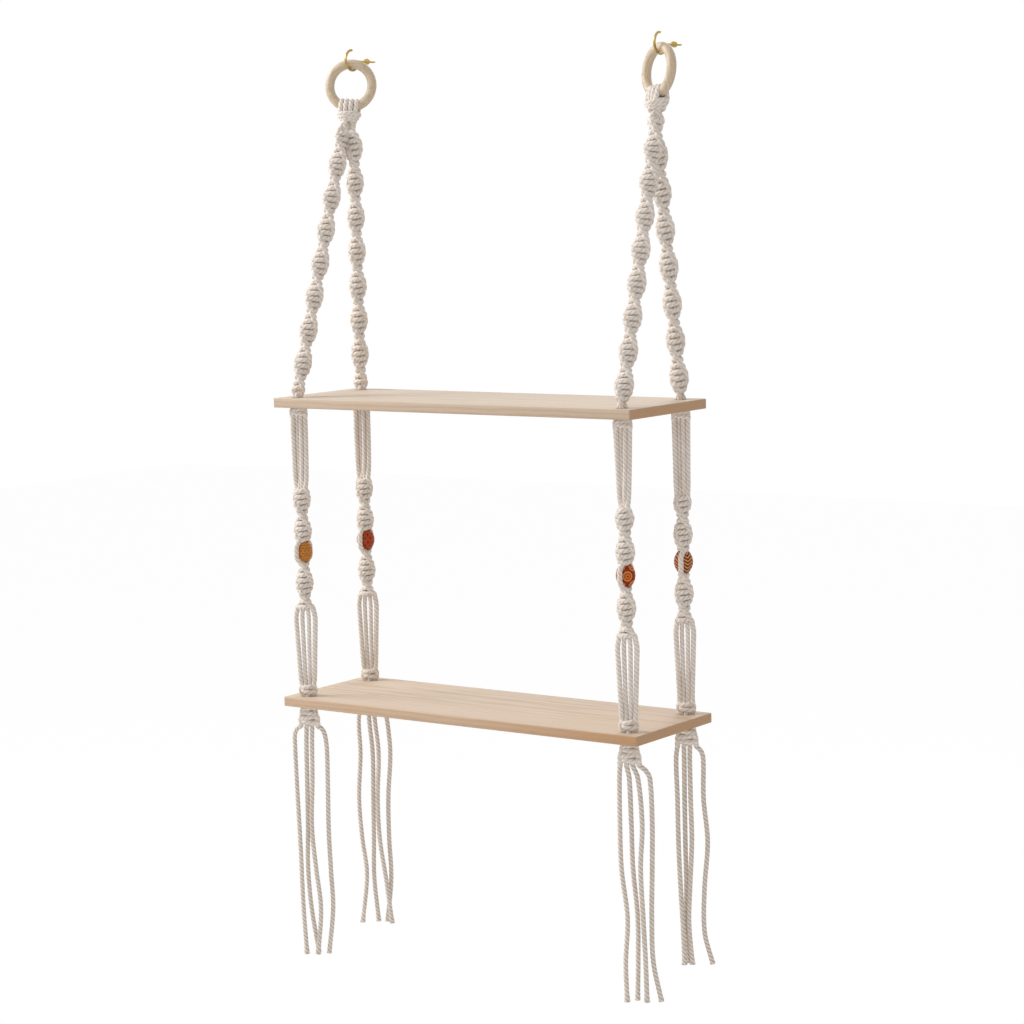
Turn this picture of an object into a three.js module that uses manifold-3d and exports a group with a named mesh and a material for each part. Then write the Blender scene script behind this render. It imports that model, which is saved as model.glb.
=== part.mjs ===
// A two-tier hanging rope shelf. Two boards are carried by four legs of knotted cord, which hang
// from two wooden rings in two cup hooks. Millimetres: X along the wall, Y into it, Z up.
// The origin is on the wall, midway between the hooks, at the height of their shanks.
import * as THREE from "three";
import { mergeVertices } from "three/addons/utils/BufferGeometryUtils.js";
import Module from "manifold-3d";

const wasm = await Module();
wasm.setup();

// Boards
const boardLength = 450;
const boardDepth = 140;
const boardThickness = 10;
const boardCornerRadius = 1.5;
const upperBoardDrop = 352; // from the hook shanks down to the upper board's top
const shelfSpace = 310; // clear height between the boards
const holeFromEnd = 20;
const holeFromEdge = 17;
const holeDiameter = 13;

// Cup hooks
const hookSpacing = 390;
const hookReach = 26.5; // from the wall to the middle of the bowl
const hookWire = 2.6;
const bowlDiameter = 18.8; // inside the wire
const bowlRise = 1; // middle of the bowl above the shank
const neckBend = 3;
const shoulderDiameter = 6.5;
const shoulderDepth = 6;
const screwLength = 14;
const screwPoint = 4;

// Rings
const ringDiameter = 56;
const ringTube = 10;
const ringYaw = THREE.MathUtils.degToRad(25); // the inner side of each ring turns to the wall
const ringLean = 8.5; // degrees: the boards' weight draws the foot of each ring off the wall

// Cord and knots
const cordDiameter = 5;
const sinnetWidth = 18.5;
const sinnetDepth = 11;
const topTaper = 20; // length over which a spiral swells from its upper end
const footTaper = 8;
const knotRise = 5.7; // length that one half knot takes below the upper board
const knotTurn = THREE.MathUtils.degToRad(30); // how far each half knot turns the spiral
const neckWidth = 15;
const neckDepth = 19;
const neckTopWidth = 23;
const neckTopDepth = 21;
const collarHeight = 11;
const collarWidth = 28;
const collarDepth = 25;
const neckDrop = 14; // from the ring's lowest point to the end of the neck
const endRadius = 5; // rounded upper end of a sinnet
const endSpread = 6.4; // from the middle of the neck to the middle of a sinnet's upper end
const endTurn = THREE.MathUtils.degToRad(40); // the front sinnet starts outwards of the back one
const stopKnotHeight = 9;
const tailKnotHeight = 22;
const tailKnotWidth = 22;
const restKnotHeight = 14; // the knot that stands on the lower board
const dropStrandLength = 71;
const strandSpread = 6.9; // outermost strand from the middle of the leg
const flareSpread = 9.7;
const beadSpiralKnots = 10;
const lowSpiralKnots = 6;

// Beads
const beadDiameter = 19.5;
const beadHeight = 20.5;
const beadBore = 10.8;
const beadFlat = 12; // diameter of the flat at each end

// Fits
const touchGap = 0.3; // between pieces that rest on or meet each other
const pivotGap = 0.5; // at a rounded cord end that turns against a board or knot
const neckGap = 0.85; // at the sinnets' upper ends, which turn about the middle between them
const cutOver = 2; // how far a cutting tool runs past the face that it cuts
const weld = 1e-4;

// Facets
const cordSides = 6;
const tailSides = 8;
const roundSides = 12;
const knotSides = 8;
const ringSteps = 24;
const wireSteps = 18;
const bowlSteps = 13;
const loopSteps = 8;
const strandSteps = 6;
const flareSteps = 5;
const passSteps = 5;
const tailSteps = 5;
const barrelSteps = 4;

const cordRadius = cordDiameter / 2;
const bundleRadius = cordRadius * (1 + Math.SQRT2); // four cords two by two
const upperTop = -upperBoardDrop;
const upperUnder = upperTop - boardThickness;
const lowerTop = upperUnder - shelfSpace;
const lowerUnder = lowerTop - boardThickness;
const holeX = boardLength / 2 - holeFromEnd;
const hookX = hookSpacing / 2;
const wireRadius = hookWire / 2;
const tubeRadius = ringTube / 2;
const ringRadius = ringDiameter / 2 - tubeRadius;
const bowlRadius = bowlDiameter / 2 + wireRadius;
const ringTubeTop = bowlRise - bowlDiameter / 2 + touchGap + tubeRadius;
const ringZ = ringTubeTop - ringRadius;
const neckEnd = ringZ - ringDiameter / 2 - neckDrop;
const swayZ = neckEnd - neckGap - endRadius;
const levelZ = upperTop + pivotGap + bundleRadius;
const halfTurn = Math.PI;
const fullTurn = 2 * Math.PI;

const group = new THREE.Group();
const point = (x, y, z) => new THREE.Vector3(x, y, z);

const pine = new THREE.MeshStandardMaterial({ color: 0xdcc5a8, roughness: 0.6, metalness: 0 });
const beech = new THREE.MeshStandardMaterial({ color: 0xd2b48c, roughness: 0.55, metalness: 0 });
const cotton = new THREE.MeshStandardMaterial({ color: 0xd9cdbd, roughness: 0.95, metalness: 0 });
const brass = new THREE.MeshStandardMaterial({ color: 0xb8954a, roughness: 0.3, metalness: 1 });
const beadColours = {
  front_left: 0xa98256,
  back_left: 0x8a4a30,
  front_right: 0x6e2d1a,
  back_right: 0xa8672c,
};

// A closed surface whose shared corners are one becomes a solid.
function solid(geometry) {
  const bare = new THREE.BufferGeometry();
  bare.setAttribute("position", geometry.getAttribute("position"));
  if (geometry.index) bare.setIndex(geometry.index);
  const merged = mergeVertices(bare, weld);
  return new wasm.Manifold(
    new wasm.Mesh({
      numProp: 3,
      vertProperties: new Float32Array(merged.getAttribute("position").array),
      triVerts: new Uint32Array(merged.index.array),
    }),
  );
}

function add(name, form, material) {
  const { numProp, numVert, vertProperties, triVerts } = form.getMesh();
  const places = new Float32Array(3 * numVert);
  for (let i = 0; i < numVert; i++) {
    places.set(vertProperties.subarray(i * numProp, i * numProp + 3), 3 * i);
  }
  const geometry = new THREE.BufferGeometry();
  geometry.setAttribute("position", new THREE.BufferAttribute(places, 3));
  geometry.setIndex(new THREE.BufferAttribute(new Uint32Array(triVerts), 1));
  const mesh = new THREE.Mesh(geometry, material);
  mesh.name = name;
  group.add(mesh);
}

const join = (forms) => forms.reduce((whole, form) => whole.add(form));

// Rings of equal count, from the top down, closed by a point at each end.
function loft(top, rings, foot) {
  const count = rings[0].length;
  const corners = [top, ...rings.flat(), foot];
  const faces = [];
  const last = corners.length - 1;
  for (let i = 0; i < count; i++) {
    const j = (i + 1) % count;
    faces.push(0, 1 + i, 1 + j);
    for (let k = 0; k + 1 < rings.length; k++) {
      const upper = 1 + k * count;
      const lower = upper + count;
      faces.push(upper + i, lower + i, lower + j, upper + i, lower + j, upper + j);
    }
    faces.push(last, last - count + j, last - count + i);
  }
  const geometry = new THREE.BufferGeometry().setFromPoints(corners);
  geometry.setIndex(faces);
  return solid(geometry);
}

// A cross-section on the leg's line: its corners are shares of the half width and half depth.
function section(frame, along, shares, halfWidth, halfDepth, turn) {
  const middle = frame.start.clone().addScaledVector(frame.down, along);
  return shares.map(([a, b]) => {
    const u = a * halfWidth * Math.cos(turn) - b * halfDepth * Math.sin(turn);
    const v = a * halfWidth * Math.sin(turn) + b * halfDepth * Math.cos(turn);
    return middle.clone().addScaledVector(frame.across, u).addScaledVector(frame.side, v);
  });
}

// Down the line from start to end, with a direction across it that stays near X.
function lineFrame(start, end) {
  const down = end.clone().sub(start).normalize();
  const across = point(1, 0, 0);
  across.addScaledVector(down, -across.dot(down)).normalize();
  const side = across.clone().cross(down);
  return { start, down, across, side, length: start.distanceTo(end) };
}

const ovalShares = Array.from({ length: knotSides }, (_, k) => {
  const angle = (k * fullTurn) / knotSides;
  return [Math.cos(angle), Math.sin(angle)];
});
const lensShares = [
  [1, 0],
  [0.45, 1],
  [-0.45, 1],
  [-1, 0],
  [-0.45, -1],
  [0.45, -1],
];
const lensDepthShare = 0.89; // makes the six corners lie on one circle
const valleyShare = 0.86; // width between two knots over the width at a knot
const domeShares = [
  [0.94, 0.34],
  [0.6, 0.8],
]; // height and radius of two rings of a round end

// A spiral sinnet: a flat lens of half knots that turns as it goes down, with one swelling to each
// half knot. An end keeps its full width, or narrows to a radius, and may be round.
function spiral(start, end, knots, startTurn, topEnd, footEnd) {
  const frame = lineFrame(start, end);
  const steps = 2 * knots;
  const rings = [];
  const lens = (along, halfWidth, halfDepth) => {
    const turn = startTurn + (along / frame.length) * knots * knotTurn;
    rings.push(section(frame, along, lensShares, halfWidth, halfDepth, turn));
  };
  const dome = (along, radius, outward, share) => {
    lens(along + outward * share[0] * radius, share[1] * radius, share[1] * radius * lensDepthShare);
  };
  if (topEnd.round) domeShares.forEach((share) => dome(0, topEnd.radius, -1, share));
  for (let k = 0; k <= steps; k++) {
    const along = (k * frame.length) / steps;
    const nearTop = 2 * along < frame.length;
    const near = nearTop ? along : frame.length - along;
    const { radius } = nearTop ? topEnd : footEnd;
    const swell = radius ? THREE.MathUtils.smoothstep(near, 0, nearTop ? topTaper : footTaper) : 1;
    const ridge = k % 2 ? 1 : THREE.MathUtils.lerp(1, valleyShare, swell);
    const halfWidth = THREE.MathUtils.lerp(radius, sinnetWidth / 2, swell) * ridge;
    const halfDepth = THREE.MathUtils.lerp(radius * lensDepthShare, sinnetDepth / 2, swell) * ridge;
    lens(along, halfWidth, halfDepth);
  }
  if (footEnd.round) {
    [...domeShares].reverse().forEach((share) => dome(frame.length, footEnd.radius, 1, share));
  }
  const top = start.clone().addScaledVector(frame.down, topEnd.round ? -topEnd.radius : 0);
  const foot = end.clone().addScaledVector(frame.down, footEnd.round ? footEnd.radius : 0);
  return loft(top, rings, foot);
}
const fullEnd = { radius: 0, round: false };

// A square knot: an oval whose half sizes are given at each drop below the start.
function knot(start, turn, rows) {
  const frame = lineFrame(start, start.clone().add(point(0, 0, -1)));
  const rings = rows.map(([drop, halfWidth, halfDepth]) =>
    section(frame, drop, ovalShares, halfWidth, halfDepth, turn),
  );
  const foot = start.clone().setZ(start.z - rows[rows.length - 1][0]);
  return loft(start.clone().setZ(start.z - rows[0][0]), rings, foot);
}

function polygon(radius, sides) {
  const corners = Array.from({ length: sides }, (_, k) => {
    const angle = (k * fullTurn) / sides;
    return new THREE.Vector2(radius * Math.cos(angle), radius * Math.sin(angle));
  });
  return new THREE.Shape(corners);
}

function tube(points, radius, sides, steps) {
  const extrudePath = new THREE.CatmullRomCurve3(points);
  return solid(
    new THREE.ExtrudeGeometry(polygon(radius, sides), { extrudePath, steps, bevelEnabled: false }),
  );
}

// A pine board with round corners and a hole for each leg.
function board(top) {
  const x = boardLength / 2;
  const r = boardCornerRadius;
  const outline = new THREE.Shape();
  outline.moveTo(-x + r, -boardDepth);
  outline.absarc(x - r, -boardDepth + r, r, -halfTurn / 2, 0);
  outline.absarc(x - r, -r, r, 0, halfTurn / 2);
  outline.absarc(-x + r, -r, r, halfTurn / 2, halfTurn);
  outline.absarc(-x + r, -boardDepth + r, r, halfTurn, (3 * halfTurn) / 2);
  for (const leg of legs) {
    outline.holes.push(new THREE.Path().absarc(leg.x, leg.y, holeDiameter / 2, 0, fullTurn, true));
  }
  const form = new THREE.ExtrudeGeometry(outline, {
    depth: boardThickness,
    bevelEnabled: false,
    curveSegments: roundSides / 2,
  });
  form.translate(0, 0, top - boardThickness);
  return solid(form);
}

const shoulderShare = 0.85; // radius halfway along the shoulder over its radius on the wall

// A brass cup hook: wood screw and shank, a cup-shaped shoulder on the wall, and an open bowl.
function cupHook(x) {
  const bendRise = bowlRise + neckBend;
  const reach = bowlRadius + neckBend;
  const bendY = -hookReach + Math.sqrt(reach * reach - bendRise * bendRise);
  const meet = Math.atan2(-bendRise, bendY + hookReach);
  const shank = [0, 0.5].map((share) => point(x, share * bendY, 0));
  const bend = [0, 0.5, 1].map((share) => {
    const angle = halfTurn / 2 + share * (halfTurn / 2 + meet);
    return point(x, bendY + neckBend * Math.cos(angle), neckBend * (Math.sin(angle) - 1));
  });
  const bowlSweep = (3 * halfTurn) / 2 + meet;
  const bowl = Array.from({ length: bowlSteps }, (_, k) => {
    const angle = meet - ((k + 1) / bowlSteps) * bowlSweep;
    const y = -hookReach + bowlRadius * Math.cos(angle);
    return point(x, y, bowlRise + bowlRadius * Math.sin(angle));
  });
  const wire = tube([...shank, ...bend, ...bowl], wireRadius, knotSides, wireSteps);
  const shoulderRadius = shoulderDiameter / 2;
  const shoulder = new THREE.LatheGeometry(
    [
      new THREE.Vector2(0, screwLength),
      new THREE.Vector2(wireRadius, screwLength - screwPoint),
      new THREE.Vector2(wireRadius, 0),
      new THREE.Vector2(shoulderRadius, 0),
      new THREE.Vector2(shoulderShare * shoulderRadius, -shoulderDepth / 2),
      new THREE.Vector2(wireRadius, -shoulderDepth),
      new THREE.Vector2(0, -shoulderDepth),
    ].reverse(),
    roundSides,
  );
  shoulder.translate(x, 0, 0);
  return join([wire, solid(shoulder)]);
}

const ringTurn = (side) => -side * ringYaw;

// The ring and what is tied on it lean about the middle of the tube that rests in the bowl.
function lean(form) {
  const upright = form.translate([0, hookReach, -ringTubeTop]);
  return upright.rotate([-ringLean, 0, 0]).translate([0, -hookReach, ringTubeTop]);
}

function leanPoint(place) {
  const pivot = point(place.x, -hookReach, ringTubeTop);
  const angle = THREE.MathUtils.degToRad(-ringLean);
  return place.sub(pivot).applyAxisAngle(point(1, 0, 0), angle).add(pivot);
}

function woodRing(side) {
  const ring = new THREE.TorusGeometry(ringRadius, tubeRadius, knotSides, ringSteps);
  ring.rotateX(halfTurn / 2);
  ring.rotateZ(ringTurn(side));
  ring.translate(side * hookX, -hookReach, ringZ);
  return lean(solid(ring));
}

// From a place beside the ring's plane: along it, through it and up.
function onRing(side, along, through, z) {
  const turn = ringTurn(side);
  const x = side * hookX + along * Math.cos(turn) - through * Math.sin(turn);
  return point(x, -hookReach + along * Math.sin(turn) + through * Math.cos(turn), z);
}

const hitchShares = [-1.5, -0.5, 0.5, 1.5]; // four folded cords side by side
const gatherShare = 0.8; // distance between the cords where they run into the neck, over theirs
const gatherDepthShare = 0.17;
const neckStraightShare = 0.65; // the neck's wide part ends at this height over the wrap's foot
const neckThinShare = 0.4;
const collarShares = [
  [1, 0.93, 0.93],
  [0.75, 1, 1],
  [0.52, 0.94, 0.96],
  [0.4, 0.68, 0.88],
  [0.2, 0.67, 0.87],
  [0, 0.6, 0.82],
]; // height over the wrap's foot, width and depth

function neckRows(grow) {
  const wide = [neckTopWidth / 2 + grow, neckTopDepth / 2 + grow];
  const thin = [neckWidth / 2 + grow, neckDepth / 2 + grow];
  return [
    [-neckEnd - collarHeight, ...wide],
    [-neckEnd - neckStraightShare * collarHeight, ...wide],
    [-neckEnd - neckThinShare * collarHeight, ...thin],
    [-neckEnd, ...thin],
  ];
}

// Four cords, each folded over the ring's lowest part, run together into the neck.
function hitch(side) {
  const wrap = tubeRadius + touchGap + cordRadius;
  const loops = hitchShares.map((share) => {
    const along = share * cordDiameter;
    const arc = [-90, -45, 0, 45, 90].map((degrees) => {
      const angle = THREE.MathUtils.degToRad(degrees);
      const reach = ringRadius - wrap * Math.cos(angle);
      const drop = Math.sqrt(reach * reach - along * along);
      return onRing(side, along, wrap * Math.sin(angle), ringZ - drop);
    });
    const gather = (way) => {
      const through = way * gatherDepthShare * neckTopDepth;
      return onRing(side, gatherShare * along, through, neckEnd + collarHeight - cordRadius);
    };
    return tube([gather(-1), ...arc, gather(1)], cordRadius, cordSides, loopSteps);
  });
  const neck = knot(point(side * hookX, -hookReach, 0), ringTurn(side), neckRows(0));
  return lean(join([...loops, neck]));
}

// The gathering wrap: a wide band under the ring and a narrow one under it, round the neck.
function collar(side) {
  const middle = point(side * hookX, -hookReach, 0);
  const rows = collarShares.map(([rise, width, depth]) => {
    return [-neckEnd - rise * collarHeight, (width * collarWidth) / 2, (depth * collarDepth) / 2];
  });
  const outer = knot(middle, ringTurn(side), rows);
  const bore = neckRows(touchGap);
  const top = bore[0];
  const foot = bore[bore.length - 1];
  const cut = [[top[0] - cutOver, top[1], top[2]], ...bore, [foot[0] + cutOver, foot[1], foot[2]]];
  return lean(outer.subtract(knot(middle, ringTurn(side), cut)));
}

// The four legs: how many half knots each upper sinnet has, and the direction in degrees in which
// it starts.
const legs = [
  { name: "front_left", side: -1, front: true, knots: 47, sinnetTurn: 43 },
  { name: "back_left", side: -1, front: false, knots: 44, sinnetTurn: 141 },
  { name: "front_right", side: 1, front: true, knots: 50, sinnetTurn: 58 },
  { name: "back_right", side: 1, front: false, knots: 44, sinnetTurn: 53 },
];
for (const leg of legs) {
  leg.x = leg.side * holeX;
  leg.y = leg.front ? holeFromEdge - boardDepth : -holeFromEdge;
}
const knotFace = THREE.MathUtils.degToRad(24); // the flat knots face a little to the right
const beadTurn = THREE.MathUtils.degToRad(-19); // where the spiral above a bead starts
const lowTurn = beadTurn + beadSpiralKnots * knotTurn;
const flareTurn = lowTurn + lowSpiralKnots * knotTurn - fullTurn;

// Heights down a leg, from the upper board's underside.
const stopKnotTop = upperUnder - touchGap;
const endReach = domeShares[0][0] * bundleRadius; // a round end's middle to its flat tip
const dropPivotZ = stopKnotTop - stopKnotHeight - pivotGap - endReach;
const beadSpiralTop = dropPivotZ - dropStrandLength;
const beadSpiralFoot = beadSpiralTop - beadSpiralKnots * knotRise;
const beadTop = beadSpiralFoot - touchGap;
const beadMiddle = beadTop - beadHeight / 2;
const lowSpiralTop = beadTop - beadHeight - touchGap;
const lowSpiralFoot = lowSpiralTop - lowSpiralKnots * knotRise;
const restKnotTop = lowerTop + pivotGap + restKnotHeight;
const restPivotZ = lowerTop + pivotGap + endReach;
const tailTop = lowerUnder - touchGap - tailKnotHeight;
const knotHalfWidth = sinnetWidth / 2;
const knotHalfDepth = sinnetDepth / 2;

function upperSinnet(leg) {
  const row = leg.front ? 1 : -1;
  const outward = row * endSpread * Math.sin(endTurn);
  const forward = row * endSpread * Math.cos(endTurn);
  const start = leanPoint(point(leg.side * (hookX + outward), -hookReach - forward, swayZ));
  const end = point(leg.x, leg.y, levelZ);
  const turn = THREE.MathUtils.degToRad(leg.sinnetTurn);
  const topEnd = { radius: endRadius, round: true };
  return spiral(start, end, leg.knots, turn, topEnd, { radius: bundleRadius, round: true });
}

// Four cords through the board's hole, and the knot that they hold it up with.
function holeKnot(leg, boardTop, height, halfWidth, shares) {
  const under = boardTop - boardThickness;
  const rows = shares.map(([drop, width, depth]) => {
    return [touchGap - under + drop * height, width * halfWidth, depth * knotHalfDepth];
  });
  return knot(point(leg.x, leg.y, 0), knotFace, [
    [-boardTop + touchGap, bundleRadius, bundleRadius],
    [-under, bundleRadius, bundleRadius],
    ...rows,
  ]);
}

// Each row of a knot: shares of its height, half width and half depth.
const stopKnotShares = [
  [0.04, 0.8, 1],
  [0.25, 1, 1.1],
  [0.5, 0.9, 0.95],
  [0.75, 1, 1.1],
  [1, 0.7, 0.9],
];
const tailKnotShares = [
  [0.02, 0.72, 1],
  [0.16, 0.8, 1.1],
  [0.33, 0.74, 0.95],
  [0.5, 0.88, 1.1],
  [0.66, 0.84, 0.95],
  [0.86, 1, 1.1],
  [1, 0.95, 0.75],
];
const restKnotShares = [
  [0, 0.8, 0.8],
  [0.2, 1, 1.1],
  [0.36, 0.9, 0.95],
  [0.5, 0.9, 1],
];

const stopKnot = (leg) => holeKnot(leg, upperTop, stopKnotHeight, knotHalfWidth, stopKnotShares);
const tailKnot = (leg) => {
  return holeKnot(leg, lowerTop, tailKnotHeight, tailKnotWidth / 2, tailKnotShares);
};

// A place on a leg: across its flat knots or another direction, through them, and at a height.
function onLeg(leg, across, through, z, turn = knotFace) {
  const x = leg.x + across * Math.cos(turn) - through * Math.sin(turn);
  return point(x, leg.y + across * Math.sin(turn) + through * Math.cos(turn), z);
}

// Side by side and front to back places of the four strands of a leg, as shares.
const strandShares = [
  [-1, 0],
  [-1 / 3, 1],
  [1 / 3, -1],
  [1, 0],
];

// Down a run of strands: shares of the spread and of a cord's radius, how far down the run, a lift
// in cord radii, and how far the run has turned.
const dropShares = [
  [0.38, 1, 0, 1, 0],
  [0.55, 1, 0, -1, 0],
  [1, 0.5, 0.16, 0, 0.05],
  [1, 0.5, 0.45, 0, 0.3],
  [0.97, 0.5, 0.75, 0, 0.8],
  [0.84, 0.8, 1, 1, 1],
  [0.84, 0.8, 1, 0, 1],
];
const flareShares = [
  [0.4, 1, 0, 0, 0],
  [0.4, 1, 0, -1, 0],
  [0.85, 0.8, 0.076, 0, 0.6],
  [1.08, 0.6, 0.19, 0, 0.95],
  [0.88, 0.5, 0.55, 0, 1],
  [0.6, 0.6, 1, -1, 1],
];

function strands(leg, spread, top, foot, turns, shares, steps) {
  return strandShares.map(([across, through]) => {
    const route = shares.map(([wide, deep, drop, lift, turned]) => {
      const z = THREE.MathUtils.lerp(top, foot, drop) + lift * cordRadius;
      const turn = THREE.MathUtils.lerp(turns[0], turns[1], turned);
      return onLeg(leg, across * wide * spread, through * deep * cordRadius, z, turn);
    });
    return tube(route, cordRadius, cordSides, steps);
  });
}

// Four strands from the stop knot to the spiral above the bead.
function dropStrands(leg) {
  const r = bundleRadius;
  const rows = domeShares.map(([rise, size]) => [-rise * r, size * r, size * r]);
  rows.push([0, r, r], [r / 2, r, r]);
  const end = knot(point(leg.x, leg.y, dropPivotZ), knotFace, rows);
  const foot = beadSpiralTop + touchGap;
  const turns = [knotFace, beadTurn];
  return join([end, ...strands(leg, strandSpread, dropPivotZ, foot, turns, dropShares, strandSteps)]);
}

// Past a bead: share of the reach, how far down the bead, and a lift in cord radii.
const passShares = [
  [0.6, 0, 1.5],
  [0.95, 0, 0],
  [1, 0.25, 0],
  [1, 0.75, 0],
  [0.8, 1, 1],
  [0.8, 1, 0],
];

// Two bulges of spiral, then two cords through the bead and two that pass it outside.
function beadSpiral(leg) {
  const start = point(leg.x, leg.y, beadSpiralTop);
  const end = point(leg.x, leg.y, beadSpiralFoot);
  const body = spiral(start, end, beadSpiralKnots, beadTurn, fullEnd, fullEnd);
  const place = (reach, angle, z) =>
    point(leg.x + reach * Math.cos(angle), leg.y + reach * Math.sin(angle), z);
  const foot = lowSpiralTop + touchGap;
  const forms = [body];
  for (const way of [0, halfTurn]) {
    const core = [beadSpiralFoot + cordRadius, foot].map((z) =>
      place(cordRadius, lowTurn + halfTurn / 2 + way, z),
    );
    forms.push(tube(core, cordRadius, cordSides, 1));
    const bow = beadDiameter / 2 + touchGap + cordRadius;
    const outside = passShares.map(([reach, drop, lift]) =>
      place(reach * bow, lowTurn + way, beadTop - drop * beadHeight + lift * cordRadius),
    );
    forms.push(tube(outside, cordRadius, cordSides, passSteps));
  }
  return join(forms);
}

function lowSpiral(leg) {
  const start = point(leg.x, leg.y, lowSpiralTop);
  const end = point(leg.x, leg.y, lowSpiralFoot);
  const footEnd = { radius: bundleRadius, round: false };
  return spiral(start, end, lowSpiralKnots, lowTurn, fullEnd, footEnd);
}

// Four strands that bow out below the waist, and the knot with which they stand on the lower board.
function flaredStrands(leg) {
  const r = bundleRadius;
  const rows = restKnotShares.map(([drop, width, depth]) => {
    return [drop * restKnotHeight, width * knotHalfWidth, depth * knotHalfDepth];
  });
  const end = restKnotTop - restPivotZ;
  rows.push([end, r, r]);
  [...domeShares].reverse().forEach(([rise, size]) => rows.push([end + rise * r, size * r, size * r]));
  const rest = knot(point(leg.x, leg.y, restKnotTop), knotFace, rows);
  const top = lowSpiralFoot - touchGap;
  const turns = [flareTurn, knotFace];
  const cords = strands(leg, flareSpread, top, restKnotTop, turns, flareShares, flareSteps);
  return join([rest, ...cords]);
}

// A barrel of turned wood with flat ends and a bore for two cords.
function bead(leg) {
  const bore = beadBore / 2;
  const flat = beadFlat / 2;
  const swell = beadDiameter / 2 - flat;
  const half = beadHeight / 2;
  const profile = [[bore, -half]];
  for (let k = 0; k <= barrelSteps; k++) {
    const share = (2 * k) / barrelSteps - 1;
    const z = Math.sin((share * halfTurn) / 2) * half;
    profile.push([flat + swell * Math.sqrt(Math.max(0, 1 - (z / half) ** 2)), z]);
  }
  profile.push([bore, half], [bore, -half]);
  const form = new THREE.LatheGeometry(
    profile.map(([r, z]) => new THREE.Vector2(r, z)),
    roundSides,
  );
  form.rotateX(halfTurn / 2);
  form.translate(leg.x, leg.y, beadMiddle);
  return solid(form);
}

// Where the tails leave each knot, across it, and how far they run straight down.
const tailStarts = [-8.5, -2.7, 2.7, 8.5];
const tailRun = 2;

// The loose tails' further points, by hand: across the knot, through it, and down from it.
const tailRoutes = {
  front_left: [
    [[-14, 0, 8], [-15.5, 0, 18], [-16, -1, 60], [-14, -2, 130], [-12.7, -3, 200], [-10.5, -3, 250]],
    [[-4, 0, 18], [-4.8, 1, 60], [-6, 2, 110], [-7.8, 3, 155], [-5.5, 3, 200], [1, 4, 250]],
    [[2.3, 0, 18], [1.5, -1, 60], [-0.5, -2, 110], [2.5, -2, 155], [6.5, -2, 200], [2, -3, 250]],
    [[14.5, 0, 8], [16.5, 0, 18], [18, 1, 60], [17, 2, 115], [18, 2, 160], [19, 2, 200], [13, 2, 250]],
  ],
  back_left: [
    [[-14.3, 0, 9], [-13.5, -1, 50], [-16.5, -2, 100], [-14, -3, 145], [-10, -3, 185], [-16.5, -3, 240]],
    [[-2.5, 0, 14], [0, 1, 50], [-1.2, 2, 100], [-2, 2, 145], [-3, 2, 190], [0.5, 3, 240]],
    [[4, 0, 14], [7.2, -1, 50], [4.8, -2, 100], [6, -3, 145], [12, -4, 190], [17.5, -4, 240]],
    [[16, 0, 7], [18, 0, 14], [20, 1, 50], [16, 2, 100], [15.5, 2, 145], [16.5, 2, 190], [10.5, 3, 240]],
  ],
  front_right: [
    [[-10.5, 0, 14], [-10.8, -1, 60], [-10, -2, 105], [-5, -2, 155], [-7.5, -3, 200], [-6.8, -3, 240]],
    [[-0.6, 0, 14], [0, 3, 60], [0.5, 4, 105], [4.2, 4, 155], [3.8, 4, 200], [2.6, 4, 240]],
    [[8, 0, 14], [11.5, -1, 60], [9.2, -2, 105], [10.8, -2, 155], [12.4, -2, 200], [13, -2, 240]],
    [[16, 0, 6], [20, 0, 14], [21.3, 1, 60], [20.2, 2, 105], [18.8, 2, 155], [19.5, 2, 200], [27, 2, 240]],
  ],
  back_right: [
    [[-11.3, 0, 14], [-10.5, -1, 55], [-10, -3, 100], [-8.6, -4, 145], [-6.8, -4, 190], [-5.8, -4, 228]],
    [[-3, 0, 14], [-3.6, 2, 55], [-3.8, 3, 100], [-3.6, 3, 145], [-4.4, 3, 190], [-1.8, 4, 228]],
    [[2.7, 0, 14], [3, -1, 55], [3.6, -2, 100], [1, -2, 145], [-0.8, -2, 185], [2, -2, 228]],
    [[14.5, 0, 6], [16.5, 0, 14], [16, 1, 55], [19.3, 2, 100], [15.2, 2, 150], [14.6, 2, 195], [22.5, 2, 228]],
  ],
};

function tail(leg, start, route) {
  const points = [[start, 0, 0], [start, 0, tailRun], ...route].map(([across, through, drop]) =>
    onLeg(leg, across, through, tailTop - touchGap - drop),
  );
  return tube(points, cordRadius, tailSides, tailSteps);
}

for (const side of [-1, 1]) {
  const hand = side < 0 ? "left" : "right";
  add(`${hand}_cup_hook`, cupHook(side * hookX), brass);
  add(`${hand}_wood_ring`, woodRing(side), beech);
  add(`${hand}_ring_hitch`, hitch(side), cotton);
  add(`${hand}_gathering_wrap`, collar(side), cotton);
}
add("upper_board", board(upperTop), pine);
add("lower_board", board(lowerTop), pine);
for (const leg of legs) {
  const wood = new THREE.MeshStandardMaterial({ color: beadColours[leg.name], roughness: 0.4 });
  add(`${leg.name}_upper_sinnet`, upperSinnet(leg), cotton);
  add(`${leg.name}_stop_knot`, stopKnot(leg), cotton);
  add(`${leg.name}_drop_strands`, dropStrands(leg), cotton);
  add(`${leg.name}_bead_spiral`, beadSpiral(leg), cotton);
  add(`${leg.name}_bead`, bead(leg), wood);
  add(`${leg.name}_low_spiral`, lowSpiral(leg), cotton);
  add(`${leg.name}_flared_strands`, flaredStrands(leg), cotton);
  add(`${leg.name}_tail_knot`, tailKnot(leg), cotton);
  tailRoutes[leg.name].forEach((route, k) => {
    add(`${leg.name}_tail_${k + 1}`, tail(leg, tailStarts[k], route), cotton);
  });
}

export default group;
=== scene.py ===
import math

import bmesh
import bpy
import numpy as np
from mathutils import Matrix, Vector


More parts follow.
